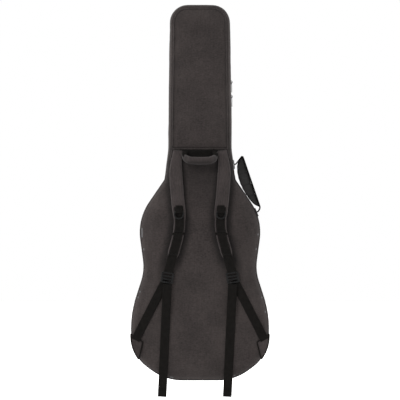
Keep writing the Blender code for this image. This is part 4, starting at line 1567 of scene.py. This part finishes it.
@dataclass
class Inside:
    """The neck rest with its strap, and the bumper under the guitar's end."""

    maker: Maker

    def build(self) -> None:
        """Makes the padded block, the strap over it and the bumper."""
        self.rest()
        self.strap()
        self.bumper()
        LOG.info("inside: 3 pieces")

    def block(self, name: str, node: str, profile: Sequence[Flat], low_z: float, high_z: float) -> None:
        """A foam block wrapped in plush: one profile, seen from above, over a height.

        Args:
            name: The piece's name.
            node: The plain solid that it stands for.
            profile: The profile's corners, x across and y out of the floor.
            low_z: The block's foot.
            high_z: The block's top.
        """
        rings = [[Vector((x, y, z)) for x, y in profile] for z in (low_z, high_z)]
        obj = remeshed(lofted(name, rings), 0.003)
        floor = points_of(obj)[:, 1] < min(y for x, y in profile) + 0.003
        stuffed(obj, floor, 3.0, 0.0012, 8)
        crumpled(obj, 0.0006, (40.0, 40.0, 40.0), 1.5)
        smoothed(obj)
        self.maker.fit(obj, "plush", "foam", "root", node)

    def rest(self) -> None:
        """The neck rest: a block with a groove for the neck."""
        low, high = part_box("neck_rest")
        base = low.y + 0.012
        half, groove = high.x - 0.001, 0.028
        lean = groove + 0.0053
        low_y, top = low.y, high.y - 0.001
        profile = [(-half, low_y), (half, low_y), (half, top), (lean, top), (groove, base),
                   (-groove, base), (-lean, top), (-half, top)]
        self.block("neck_rest_padding", "neck_rest", profile, low.z + 0.001, high.z - 0.001)

    def bumper(self) -> None:
        """The bumper at the foot."""
        low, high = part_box("bottom_bumper")
        profile = [(low.x + 0.001, low.y), (high.x - 0.001, low.y),
                   (high.x - 0.001, high.y - 0.001), (low.x + 0.001, high.y - 0.001)]
        self.block("bottom_bumper_padding", "bottom_bumper", profile, low.z + 0.0005, high.z - 0.0005)

    def strap(self) -> None:
        """The strap that closes over the neck."""
        low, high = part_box("neck_strap")
        width = high.z - low.z
        middle = (high.z + low.z) / 2
        half, top, bend = high.x - 0.001, high.y - 0.001, 0.006
        floor = low.y + 0.0006
        path = [Vector((-half, floor, middle)), Vector((-half, top - bend, middle))]
        for way in (-1, 1):
            for step in range(7):
                turn = math.pi / 2 * step / 6
                x, y = math.cos(turn), math.sin(turn)
                if way < 0:
                    path.append(Vector((-half + bend - bend * x, top - bend + bend * y, middle)))
                else:
                    path.append(Vector((half - bend + bend * y, top - bend + bend * x, middle)))
        path.append(Vector((half, floor, middle)))
        strap = sweep("neck_strap_webbing", path, UP, flat_section(width, 0.0022, 6))
        self.maker.fit(strap, "webbing", "black_webbing", "root", "neck_strap")


@dataclass
class Strap:
    """One shoulder strap: stuffed pad, webbing, ring, adjuster, hanging tail and its anchor."""

    maker: Maker
    side: Side
    route: tuple[Flat, ...] = STRAP_ROUTE
    pad_points: int = 7
    pad_thick: float = 0.0110
    pad_top_width: float = 0.0266
    pad_width: float = 0.0375
    pad_low_width: float = 0.0325
    pad_end_width: float = 0.0290
    pad_off: float = 0.0080
    ring_drop: float = 0.144
    ring_wire: float = 0.0042
    behind_ring: float = 0.0190
    band_drop: float = 0.2065
    tail_drift: float = -0.0150
    tail_rows: int = 22
    tail_off: float = 0.0066
    tab_z: float = -0.511
    pad_face_y: float = field(init=False)

    @property
    def body(self) -> str:
        """The name of the body that the strap rides on."""
        return f"strap_{self.side.label}"

    def build(self) -> None:
        """Makes the strap from its seam to its tail."""
        label = self.side.label
        low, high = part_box(f"ladder_lock_{label}")
        self.lock = (low + high) / 2
        self.pad_face_y = BACK_Y - self.pad_off - self.pad_thick
        self.hinge_z = joint_at(f"strap_{label}_lift").z
        self.pad()
        self.webbing()
        self.keeper()
        self.ring()
        self.ladder_lock()
        self.anchor()
        self.tab()
        LOG.info("strap %s: pad, webbing, ring, ladder lock, anchor", label)

    def line(self, last: Optional[int] = None, steps: int = 12) -> list[Vector]:
        """The centre line, down to one of the route's points, at y = 0."""
        points = [Vector((self.side.value * x, 0.0, -drop)) for x, drop in self.route[:last]]
        return smooth(points, steps)

    def x_at(self, z: float) -> float:
        """Where the centre line is.

        Args:
            z: The height.

        Returns:
            The place across.
        """
        line = self.line()
        for a, b in zip(line, line[1:]):
            if (a.z - z) * (b.z - z) <= 0 and a.z != b.z:
                return a.lerp(b, (z - a.z) / (b.z - a.z)).x
        return line[-1].x

    def pad(self) -> None:
        """The stuffed pad, stitched along its edges, bending at the seam that it hangs from."""
        label = self.side.label
        path = evenly(self.line(self.pad_points), 0.0035)
        top_z, foot_z = path[0].z, path[-1].z
        seam_y = BACK_Y - 0.0003 - self.pad_thick / 2
        middle_y = BACK_Y - self.pad_off - self.pad_thick / 2
        scales = []
        for point in path:
            out = eased(top_z - point.z, 0.0, self.pad_width * 2)
            point.y = seam_y + (middle_y - seam_y) * out
            width = self.pad_top_width + (self.pad_width - self.pad_top_width) * out
            narrowed = eased(foot_z + self.pad_width - point.z, 0.0, self.pad_width)
            width += (self.pad_end_width - self.pad_width) * narrowed
            slim = eased(-self.ring_drop + 0.004 - point.z, 0.0, 0.030)
            width = width * (1.0 - slim) + min(width, self.pad_low_width) * slim
            near_end = min(top_z - point.z, point.z - foot_z)
            full = 0.42 + 0.58 * eased(near_end, -0.001, 0.012)
            round_end = 1.0 - 0.18 * (1.0 - eased(point.z - foot_z, 0.0, 0.008))
            scales.append((width * round_end, full))
        section = pillow_section(1.0, self.pad_thick - 0.0012, 28, 0.62)
        pad = sweep(f"strap_pad_{label}_stuffed", path, across_back(path), section, scales)
        points = points_of(pad)
        rim = np.zeros(len(points), bool)
        for start in range(0, len(points), 28):
            rim[[start, start + 14]] = True
        rim[:28] = True
        rim[-28:] = True
        self.maker.dress(pad, "strap_heather")
        stuffed(pad, rim, 6.0, 0.0022, 10, 20.0)
        fold = np.exp(-((points[:, 2] + self.ring_drop + 0.020) / 0.02) ** 2)
        crumpled(pad, 0.0007, (30.0, 20.0, 55.0), 2.0 + self.side.value, 0.4 + fold)
        paint(pad, "seam", np.where(rim, 0.8, 0.0))
        divided(pad, 1)
        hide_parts(f"strap_pad_{label}")
        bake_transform(pad)
        self.binding(path, scales)

    def binding(self, path: Sequence[Vector], scales: Sequence[Flat]) -> None:
        """The rows of stitches down both sides of the pad, beside its edges.

        Args:
            path: The pad's centre line.
            scales: The pad's width at each of its points, and its fullness.
        """
        sides = across_back(path)
        inner = [i for i, point in enumerate(path) if point.z < self.hinge_z - 0.028]
        lines = []
        for way in (-1, 1):
            edge = [path[i] + sides[i] * (way * (scales[i][0] / 2 - 0.0042)) for i in inner]
            for point in edge:
                point.y = self.pad_face_y + 0.0012
            lines.append((edge, OFF_BACK))
        self.maker.stitches(f"strap_pad_{self.side.label}_stitches", self.body, lines, 0.0040)

    def webbing(self) -> None:
        """The webbing down the pad, stitched in boxes, over the ladder lock's top bar."""
        label = self.side.label
        foot_z = -self.route[self.pad_points - 1][1]
        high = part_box(f"strap_webbing_{label}")[1]
        top_z = high.z + self.behind_ring
        line = [p for p in self.line() if p.z < top_z - 0.002]
        line = [Vector((self.x_at(top_z), 0.0, top_z))] + line
        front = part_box(f"ladder_lock_{label}")[0].y - 0.0003 - WEBBING / 2
        face = self.pad_face_y - 0.0003 - WEBBING / 2
        for point in line:
            out = eased(foot_z - point.z, 0.0, foot_z - line[-1].z)
            point.y = face + (front + 0.0022 - face) * out
        path = evenly(line, 0.004)
        section = flat_section(WEBBING_WIDTH, WEBBING)
        obj = sweep(f"strap_webbing_{label}_woven", path, across_back(path), section)
        self.maker.dress(obj, "webbing")
        tacks = np.zeros(len(obj.data.vertices))
        heights = points_of(obj)[:, 2]
        sewn = (high.z - 0.006, high.z - 0.052, foot_z + 0.008)
        for z in sewn:
            tacks = np.maximum(tacks, np.exp(-((heights - z) / 0.004) ** 2))
        paint(obj, "seam", tacks * 0.6)
        hand_over(obj, "black_webbing", self.body, f"strap_webbing_{label}")
        self.tacks(path, sewn)
        self.band(path)

    def band(self, path: Sequence[Vector]) -> None:
        """The narrow band across the pad where its upper and lower parts are joined.

        Args:
            path: The webbing's centre line.
        """
        here = min(path, key=lambda point: abs(point.z + self.band_drop))
        half = self.pad_low_width / 2 + 0.0008
        bend = self.pad_thick * 0.45
        corners = ((-half, bend), (-half, -0.0006), (half, -0.0006), (half, bend))
        line = [here + Vector((x, y, 0.0)) for x, y in corners]
        soft = evenly(rounded_line(line, 0.004), 0.002)
        band = sweep(f"strap_band_{self.side.label}", soft, UP, flat_section(0.0060, 0.0018, 4))
        self.maker.fit(band, "webbing", "black_webbing", self.body)

    def tacks(self, path: Sequence[Vector], heights: Sequence[float]) -> None:
        """Bar tacks across the webbing, and the two lines of stitches between them.

        Args:
            path: The webbing's centre line.
            heights: Where the bar tacks are.
        """
        lines = []
        half = RIGHT * (WEBBING_WIDTH / 2 - 0.002)
        off = OFF_BACK * (WEBBING / 2 + 0.0002)
        for z in heights:
            for row in range(3):
                here = min(path, key=lambda point: abs(point.z - z - row * 0.0016))
                centre = Vector((here.x, here.y, z + row * 0.0016)) + off
                lines.append(([centre - half, centre + half], OFF_BACK))
        sides = across_back(path)
        run = [i for i, point in enumerate(path) if heights[2] < point.z < heights[0]]
        for way in (-1, 1):
            reach = way * (WEBBING_WIDTH / 2 - 0.0022)
            lines.append(([path[i] + sides[i] * reach + off for i in run], OFF_BACK))
        self.maker.stitches(f"strap_webbing_{self.side.label}_stitches", self.body, lines, 0.0032)

    def keeper(self) -> None:
        """The loop of webbing that holds the ring's bar on the pad."""
        label = self.side.label
        low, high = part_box(f"d_ring_keeper_{label}")
        bar = self.ring_bar()
        wrap = self.ring_wire / 2 + 0.0003 + WEBBING / 2
        high.z -= 0.008
        path = [Vector((bar.x, bar.y + wrap, high.z))]
        for step in range(13):
            turn = math.pi * step / 12
            path.append(Vector((bar.x, bar.y + wrap * math.cos(turn), bar.z - wrap * math.sin(turn))))
        path.append(Vector((bar.x, bar.y - wrap + 0.0005, bar.z + 0.006)))
        path.append(Vector((bar.x, bar.y + wrap - WEBBING - 0.0003, bar.z + 0.013)))
        path.append(Vector((bar.x, bar.y + wrap - WEBBING - 0.0003, high.z)))
        section = flat_section(high.x - low.x, WEBBING, 6)
        obj = sweep(f"d_ring_keeper_{label}_woven", path, RIGHT, section)
        self.maker.fit(obj, "webbing", "black_webbing", self.body, f"d_ring_keeper_{label}")

    def ring_bar(self) -> Vector:
        """The middle of the ring's straight bar."""
        return joint_at(f"d_ring_{self.side.label}_swing")

    def ring(self) -> None:
        """The moulded D-ring: a straight bar and a round bow, of one round section."""
        label = self.side.label
        low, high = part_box(f"d_ring_{label}")
        bar = self.ring_bar()
        wire = self.ring_wire / 2
        half = (high.x - low.x) / 2 - wire
        drop = bar.z - low.z - wire
        shoulder = drop * 0.4
        shape = [(half - 0.002 - 2 * (half - 0.002) * i / 6, 0.0) for i in range(7)]
        shape += [(-half, -0.002)]
        for step in range(17):
            turn = math.pi - math.pi * step / 16
            shape.append((half * math.cos(turn), -shoulder - (drop - shoulder) * math.sin(turn)))
        shape += [(half, -0.002)]
        path = [Vector((bar.x + u, bar.y, bar.z + v)) for u, v in shape]
        section = round_section(wire, wire, 12)
        ring = sweep(f"d_ring_{label}_moulded", path, OFF_FRONT, section, closed=True)
        self.maker.fit(ring, "plastic", "moulded_plastic", f"d_ring_{label}", f"d_ring_{label}")

    def ladder_lock(self) -> None:
        """The moulded adjuster: two rails and four ribbed bars."""
        label = self.side.label
        tilt = Matrix.Rotation(math.radians(-self.side.value * 9.0), 4, "Y")
        place = Matrix.Translation(self.lock) @ tilt
        solid = bmesh.new()
        bars = ((0.0135, 0.0040, 0.0), (0.0043, 0.0046, -0.0006), (-0.0043, 0.0046, -0.0006),
                (-0.0130, 0.0052, 0.0003))
        boxes = [((0.0, y, z), (0.0262, 0.0044, height)) for z, height, y in bars]
        boxes += [((way * 0.0153, 0.0, 0.0), (0.0050, 0.0050, 0.0286)) for way in (-1, 1)]
        boxes += [((way * 0.0055, -0.0026, -0.0130), (0.0030, 0.0012, 0.0046)) for way in (-1, 0, 1)]
        for centre, size in boxes:
            made = bmesh.ops.create_cube(solid, size=1.0)["verts"]
            bmesh.ops.scale(solid, vec=size, verts=made)
            bmesh.ops.translate(solid, vec=centre, verts=made)
        bmesh.ops.transform(solid, matrix=place, verts=solid.verts)
        obj = smoothed(remeshed(formed(f"ladder_lock_{label}_moulded", solid), 0.00055, 4))
        self.maker.fit(obj, "plastic", "moulded_plastic", self.body, f"ladder_lock_{label}")

    def anchor(self) -> None:
        """The webbing from the tab up to the foot of the lock."""
        label = self.side.label
        way = self.side.value
        edge_x = self.maker.outline.at(self.tab_z)
        end = Vector((way * (edge_x - 0.011), 0.0, self.tab_z + WEBBING_WIDTH / 4))
        start = Vector((self.lock.x + way * 0.004, 0.0, self.lock.z - 0.007))
        line = []
        for row in range(25):
            share = row / 24
            point = start.lerp(end, share)
            plain = 0.0216 + 0.0020 * share
            point.y = min(plain, self.maker.surface(point.x, point.z).y - WEBBING / 2 - 0.0008)
            line.append(point)
        section = flat_section(WEBBING_WIDTH, WEBBING)
        obj = sweep(f"anchor_webbing_{label}_woven", line, across_back(line), section)
        self.maker.dress(obj, "webbing")
        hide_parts(f"anchor_webbing_{label}")
        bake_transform(obj)

    def tab_lift(self, x: float, z: float) -> float:
        """How far out of its own plane the crowned back pushes the tab at a place."""
        return min(0.0, self.maker.surface(x, z).y - 0.0006 - BACK_Y)

    def tab(self) -> None:
        """The padded triangle tab that the webbing is sewn to."""
        label = self.side.label
        low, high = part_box(f"anchor_tab_{label}")
        outline = self.maker.outline
        way = self.side.value
        apex = (outline.at(self.tab_z) - 0.033, self.tab_z)
        steps = 8
        base = [low.z + (high.z - low.z) * i / steps for i in range(steps + 1)]
        flat = [apex] + [(outline.at(z) + 0.0004, z) for z in base]
        rings = []
        centre = Vector((sum(x for x, z in flat) / len(flat), sum(z for x, z in flat) / len(flat)))
        for shrink, rise in ((1.0, -0.0015), (1.0, 0.0012), (0.94, 0.0030), (0.80, 0.0036)):
            shape = [centre + (Vector(point) - centre) * shrink for point in flat]
            rings.append([Vector((way * p.x, BACK_Y - rise, p.y)) for p in shape])
        obj = remeshed(lofted(f"anchor_tab_{label}_sewn", rings), 0.0012, 3)
        points = points_of(obj)
        for point in points:
            point[1] += self.tab_lift(point[0], point[2])
        put_points(obj, points)
        crumpled(obj, 0.0004, (60.0, 60.0, 60.0), 4.4)
        smoothed(obj)
        self.maker.fit(obj, "strap_heather", "heather_fabric", "root", f"anchor_tab_{label}")
        front = BACK_Y - 0.0037
        rim = [centre + (Vector(p) - centre) * 0.97 for p in flat]
        bound = evenly([Vector((way * p.x, 0.0, p.y)) for p in rim + [rim[0]]], 0.003)[:-1]
        for point in bound:
            point.y = front + 0.0014 + self.tab_lift(point.x, point.z)
        section = round_section(0.0019, 0.0015)
        edge = sweep(f"anchor_tab_{label}_binding", bound, across_back(bound), section, closed=True)
        self.maker.fit(edge, "webbing", "black_webbing", "root")
        inner = [centre + (Vector(p) - centre) * 0.80 for p in flat]
        ring = evenly([Vector((way * p.x, 0.0, p.y)) for p in inner + [inner[0]]], 0.004)
        for point in ring:
            point.y = front + self.tab_lift(point.x, point.z)
        self.maker.stitches(f"anchor_tab_{label}_stitches", "root", [(ring, OFF_BACK)], 0.0036)

    def tail(self) -> None:
        """The webbing's loose end, which hangs from the ladder lock past the bag's foot."""
        label = self.side.label
        start = joint_at(f"tail_{label}_hang")
        end_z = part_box(f"strap_tail_{label}")[0].z
        near_y = BACK_Y - 0.0003 - WEBBING / 2
        path = []
        for row in range(self.tail_rows + 1):
            share = row / self.tail_rows
            z = start.z + (end_z - start.z) * share
            settle = eased(start.z - z, 0.060, 0.120)
            y = start.y + (near_y - self.tail_off - start.y) * settle
            path.append(Vector((start.x + self.tail_drift * share, y, z)))
        fine = smooth(path, 3)
        section = flat_section(WEBBING_WIDTH, WEBBING)
        obj = sweep(f"strap_tail_{label}_woven", fine, across_back(fine), section)
        self.maker.dress(obj, "webbing")
        heights = points_of(obj)[:, 2]
        paint(obj, "seam", 0.7 * np.exp(-((heights - end_z - 0.022) / 0.003) ** 2))
        hand_over(obj, "black_webbing", f"tail_{label}", f"strap_tail_{label}")


@dataclass
class GrabHandle:
    """The padded handle between the straps, and the band of black webbing behind it, whose black also
    paints the shade under the handle.
    """

    maker: Maker
    half: float = 0.0375
    rise: float = 0.0225
    height: float = 0.0205
    thick: float = 0.0140

    def build(self) -> None:
        """Makes the sleeve, its webbing core and the dark webbing band behind it."""
        self.sleeve()
        self.core()
        self.patch()
        LOG.info("grab handle: %.0f mm wide", 2000 * self.half)

    def sleeve(self) -> None:
        """The stuffed sleeve: a bar whose ends turn up and back to the seam."""
        points = [Vector((-0.0490, 0.0215, self.rise)), Vector((-0.0445, 0.0140, 0.0135)),
                  Vector((-0.0375, 0.0050, 0.0050)), Vector((-0.0270, 0.0004, 0.0006)),
                  Vector((0.0, -0.0004, -0.0010))]
        points += [Vector((-p.x, p.y, p.z)) for p in reversed(points[:-1])]
        path = evenly(smooth(points, 8), 0.0022)
        across = outward(path)
        scales = []
        for i in range(len(path)):
            near = min(i, len(path) - 1 - i) / (len(path) - 1)
            scales.append((0.45 + 0.55 * eased(near, 0.0, 0.24), 0.40 + 0.60 * eased(near, 0.0, 0.22)))
        section = pillow_section(self.height, self.thick, 24, 0.85)
        sleeve = sweep("grab_handle_sleeve", path, across, section, scales)
        self.maker.dress(sleeve, "strap_heather")
        ends = np.zeros(len(sleeve.data.vertices), bool)
        ends[:48] = True
        ends[-48:] = True
        stuffed(sleeve, ends, 5.0, 0.0010, 8, 20.0)
        crumpled(sleeve, 0.0009, (60.0, 40.0, 30.0), 8.8)
        # Painted shade in the 'seam' layer: a little over the whole sleeve, more on its underside and on
        # its ends under the straps.
        points = points_of(sleeve)
        low = np.clip((0.0015 - points[:, 2]) / 0.006, 0.0, 1.0)
        rise = np.clip((np.abs(points[:, 0]) - 0.034) / 0.010, 0.0, 1.0)
        paint(sleeve, "seam", np.clip(0.10 + 0.60 * np.maximum(low, rise), 0.0, 1.0))
        divided(sleeve, 1)
        hand_over(sleeve, "heather_fabric", "grab_handle", "grab_handle_grip")
        line = [point + Vector((0.0, -self.thick / 2 + 0.0006, -0.0052)) for point in path[6:-6]]
        self.maker.stitches("grab_handle_stitches", "grab_handle", [(line, OFF_BACK)], 0.0036)

    def core(self) -> None:
        """The webbing that comes out of the sleeve's ends and is sewn into the seam."""
        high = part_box("grab_handle_webbing")[1]
        legs = []
        for side in Side:
            corners = ((0.0400, 0.0070, 0.0100), (0.0436, 0.0120, 0.0170),
                       (high.x - 0.003, 0.0210, 0.0245), (high.x - 0.002, BACK_Y - 0.002, high.z))
            line = evenly(smooth([Vector((side.value * x, y, z)) for x, y, z in corners], 6), 0.002)
            legs.append(sweep(f"grab_leg_{side.label}", line, Vector((1.0, 0.0, -0.25)),
                              flat_section(0.014, 0.0024, 4)))
        core = fused("grab_handle_legs", legs)
        self.maker.dress(core, "webbing")
        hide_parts("grab_handle_webbing")
        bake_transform(core)

    def patch(self) -> None:
        """The band of black webbing sewn across the back behind the handle, whose black also stands in for
        the shade under the handle.
        """
        z_top, z_foot = SEAM_Z - 0.0015, SEAM_Z - 0.0200
        middle = (z_top + z_foot) / 2
        path = [self.maker.on_back(-0.050 + 0.100 * i / 24, middle, 0.0016) for i in range(25)]
        patch = sweep("handle_patch", path, UP, flat_section(z_top - z_foot, 0.0018, 6))
        self.maker.fit(patch, "webbing", "black_webbing", "root")
        lines = []
        for z in (z_top - 0.0022, z_foot + 0.0022):
            lines.append(([Vector((p.x, p.y - 0.0010, z)) for p in path], OFF_BACK))
        self.maker.stitches("handle_patch_stitches", "root", lines, 0.0034)


def fused(name: str, parts: Sequence[bpy.types.Object]) -> bpy.types.Object:
    """Several meshes as one piece.

    Args:
        name: The piece's name.
        parts: The meshes, which are used up.

    Returns:
        The piece.
    """
    joined = bmesh.new()
    for part in parts:
        joined.from_mesh(part.data)
    for part in parts:
        bpy.data.objects.remove(part, do_unlink=True)
    return smoothed(formed(name, joined))


@dataclass
class SideHandle:
    """The carrying handle on the long side: webbing, and a quilted grip that fills its bow."""

    maker: Maker
    stand_off: float = 0.0065
    reach: float = 0.0275
    foot_reach: float = 0.0105
    shoulder: float = 0.0147
    length: float = 0.157
    bulge: float = 0.0305
    thick: float = 0.018
    start: float = 0.0040
    skew: float = 0.80
    ply: float = 0.0034
    foot_drops: Flat = (0.010, 0.1455)

    def build(self) -> None:
        """Makes the sewn feet, the webbing and the grip."""
        low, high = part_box("side_handle_webbing")
        self.y = (low.y + high.y) / 2
        self.feet = [self.foot(drop) for drop in self.foot_drops]
        self.shape()
        self.strap()
        self.grip()
        for name, (here, out) in zip(("upper", "lower"), self.feet):
            self.sewn(name, here, out)
        LOG.info("side handle: %.0f mm long", 1000 * self.length)

    def foot(self, drop: float) -> tuple[Vector, Vector]:
        """A point of the outline at a drop below the grab handle, and the way out there.

        Args:
            drop: The drop.

        Returns:
            The point and the way out, both flat.
        """
        low, here, high = (Vector((self.maker.outline.at(step - drop), step - drop))
                           for step in (-0.004, 0.0, 0.004))
        rise = high - low
        return here, Vector((rise.y, -rise.x)).normalized()

    def shape(self) -> None:
        """The handle's corners, in the plane it lies in."""
        (upper, up_out), (lower, low_out) = self.feet
        self.first = upper + up_out * self.stand_off
        self.last = lower + low_out * self.stand_off
        run = (self.last - self.first).normalized()
        out = Vector((-run.y, run.x))
        self.top = self.first + out * self.reach - run * self.shoulder
        low = self.last + out * self.foot_reach - run * self.shoulder
        self.run = (low - self.top).normalized()
        self.low = self.top + self.run * self.length
        self.into = Vector((self.run.y, -self.run.x))

    def strap(self) -> None:
        """The webbing, from foot to foot over the back of the grip, bending at both feet."""
        (upper, up_out), (lower, low_out) = self.feet
        feet = (upper + up_out * 0.0012, lower + low_out * 0.0012)
        corners = [feet[0], self.first, self.top, self.low, self.last, feet[1]]
        soft = evenly(rounded_line(stood(corners, self.y), 0.006), 0.004)
        strap = sweep("side_handle_strap", soft, OFF_FRONT, flat_section(WEBBING_WIDTH, self.ply))
        self.maker.fit(strap, "webbing", "black_webbing", "side_handle", "side_handle_webbing")

    def grip(self) -> None:
        """The quilted grip: a stuffed bow between the webbing and the hand."""
        face = self.into * (self.ply / 2 - 0.0002)
        length = self.length - 2 * self.start
        steps = 40
        edge = []
        for step in range(steps + 1):
            share = step / steps
            swell = max(0.0, math.sin(math.pi * share**self.skew)) ** 0.55 * self.bulge
            edge.append((self.top + self.run * (self.start + length * share) + face, swell))
        count = 24
        rings = []
        for base, swell in edge:
            ring = []
            depth = max(swell, 0.0012)
            for i in range(count):
                turn = math.tau * i / count
                across = math.copysign(abs(math.cos(turn)) ** 0.75, math.cos(turn))
                out = (1.0 - math.copysign(abs(math.sin(turn)) ** 0.75, math.sin(turn))) / 2
                full = 0.55 + 0.45 * min(1.0, swell / (self.bulge * 0.5))
                point = base + self.into * (depth * out)
                ring.append(Vector((point.x, self.y + across * self.thick / 2 * full, point.y)))
            rings.append(ring)
        obj = smoothed(lofted("side_handle_pad", rings))
        off = [(Vector((p[0], p[2])) - self.top - face).dot(self.into) for p in points_of(obj)]
        near_strap = np.array(off) < 0.0015
        stuffed(obj, near_strap, 4.0, 0.0012, 8, 20.0)
        points = points_of(obj)
        along = np.array([(Vector((p[0], p[2])) - self.top).dot(self.run) for p in points])
        channel = np.abs(np.sin(along / 0.0165 * math.pi)) ** 0.5
        put_points(obj, points - normals_of(obj) * ((1.0 - channel) * 0.0011)[:, None])
        # Painted shade in the 'seam' layer, in the quilting's channels.
        paint(obj, "seam", np.clip(1.0 - channel * 1.6, 0.0, 1.0))
        divided(obj, 1)
        self.maker.fit(obj, "mesh", "black_webbing", "side_handle", "side_handle_grip")

    def sewn(self, name: str, here: Vector, out: Vector) -> None:
        """A foot of the webbing, sewn flat to the gusset with a crossed box of stitches.

        Args:
            name: Upper or lower.
            here: Its place on the outline.
            out: The way out of the bag there.
        """
        along = Vector((-out.y, out.x))
        centre = here + out * 0.0012
        path = [centre + along * (WEBBING_WIDTH * (i / 8 - 0.5)) for i in range(9)]
        foot = sweep(f"side_handle_foot_{name}", stood(path, self.y), OFF_FRONT,
                     flat_section(WEBBING_WIDTH, WEBBING, 6))
        self.maker.fit(foot, "webbing", "black_webbing", "root", f"side_handle_anchor_{name}")
        half = WEBBING_WIDTH / 2 - 0.0025
        lift = out * (WEBBING / 2 + 0.0002)
        corner = {}
        for a in (-1, 1):
            for b in (-1, 1):
                flat = centre + lift + along * (half * a)
                corner[a, b] = Vector((flat.x, self.y + half * b, flat.y))
        way = Vector((out.x, 0.0, out.y))
        runs = ([corner[-1, -1], corner[1, -1], corner[1, 1], corner[-1, 1], corner[-1, -1]],
                [corner[-1, -1], corner[1, 1]], [corner[1, -1], corner[-1, 1]])
        self.maker.stitches(f"side_handle_foot_{name}_stitches", "root",
                            [(run, way) for run in runs], 0.0030)


def rounded_line(points: Sequence[Vector], radius: float) -> list[Vector]:
    """A polyline with its inner corners rounded.

    Args:
        points: The corners.
        radius: How far from a corner its bend starts.

    Returns:
        The line.
    """
    line = [points[0]]
    for before, here, after in zip(points, points[1:], points[2:]):
        back, ahead = before - here, after - here
        reach = min(radius, back.length * 0.45, ahead.length * 0.45)
        start, end = here + back.normalized() * reach, here + ahead.normalized() * reach
        for step in range(6):
            t = step / 5
            line.append(start * (1 - t) ** 2 + here * (2 * t * (1 - t)) + end * t**2)
    return line + [points[-1]]


@dataclass
class CrossSeam:
    """The seam across the back that the straps and the handle are sewn into."""

    maker: Maker

    def build(self) -> None:
        """A lapped welt across the back with a row of stitches above it."""
        half = self.maker.outline.at(SEAM_Z) - 0.013
        path = [self.maker.on_back(-half + 2 * half * i / 60, SEAM_Z + 0.0012, 0.0004) for i in range(61)]
        welt = sweep("cross_seam_welt", path, UP, pillow_section(0.0040, 0.0026, 10, 0.9))
        self.maker.fit(welt, "heather", "heather_fabric", "root")
        line = [self.maker.on_back(p.x, SEAM_Z + 0.0060, 0.0003) for p in path]
        self.maker.stitches("cross_seam_stitches", "root", [(line, OFF_BACK)])
        LOG.info("cross seam: %.0f mm", 2000 * half)


def main() -> None:
    """Builds the bag: camera and cords first, then the halves and what is sewn to them."""
    logging.basicConfig(level=logging.INFO, format="%(message)s")
    Stage().build()
    maker = Maker()
    straps = [Strap(maker, side) for side in Side]
    for strap in straps:
        strap.tail()
    rear = Half(maker, "rear", "root", BACK_Y, (
        "back_cover_upper", "back_cover_lower", "back_foam", "back_lining",
        "rear_gusset_cover", "rear_gusset_foam", "rear_gusset_lining",
    ), "back_piping", "rear_zip")
    rear.build()
    maker.remember(rear.shell)
    front = Half(maker, "front", "lid", FRONT_Y, (
        "front_cover", "front_foam", "front_lining",
        "front_gusset_cover", "front_gusset_foam", "front_gusset_lining",
    ), "front_piping", "front_zip")
    front.build()
    for piece in (Spine(maker), Pocket(maker), Sliders(maker), Inside(maker), CrossSeam(maker),
                  *straps, GrabHandle(maker), SideHandle(maker)):
        piece.build()


if __name__ == "__main__":
    main()
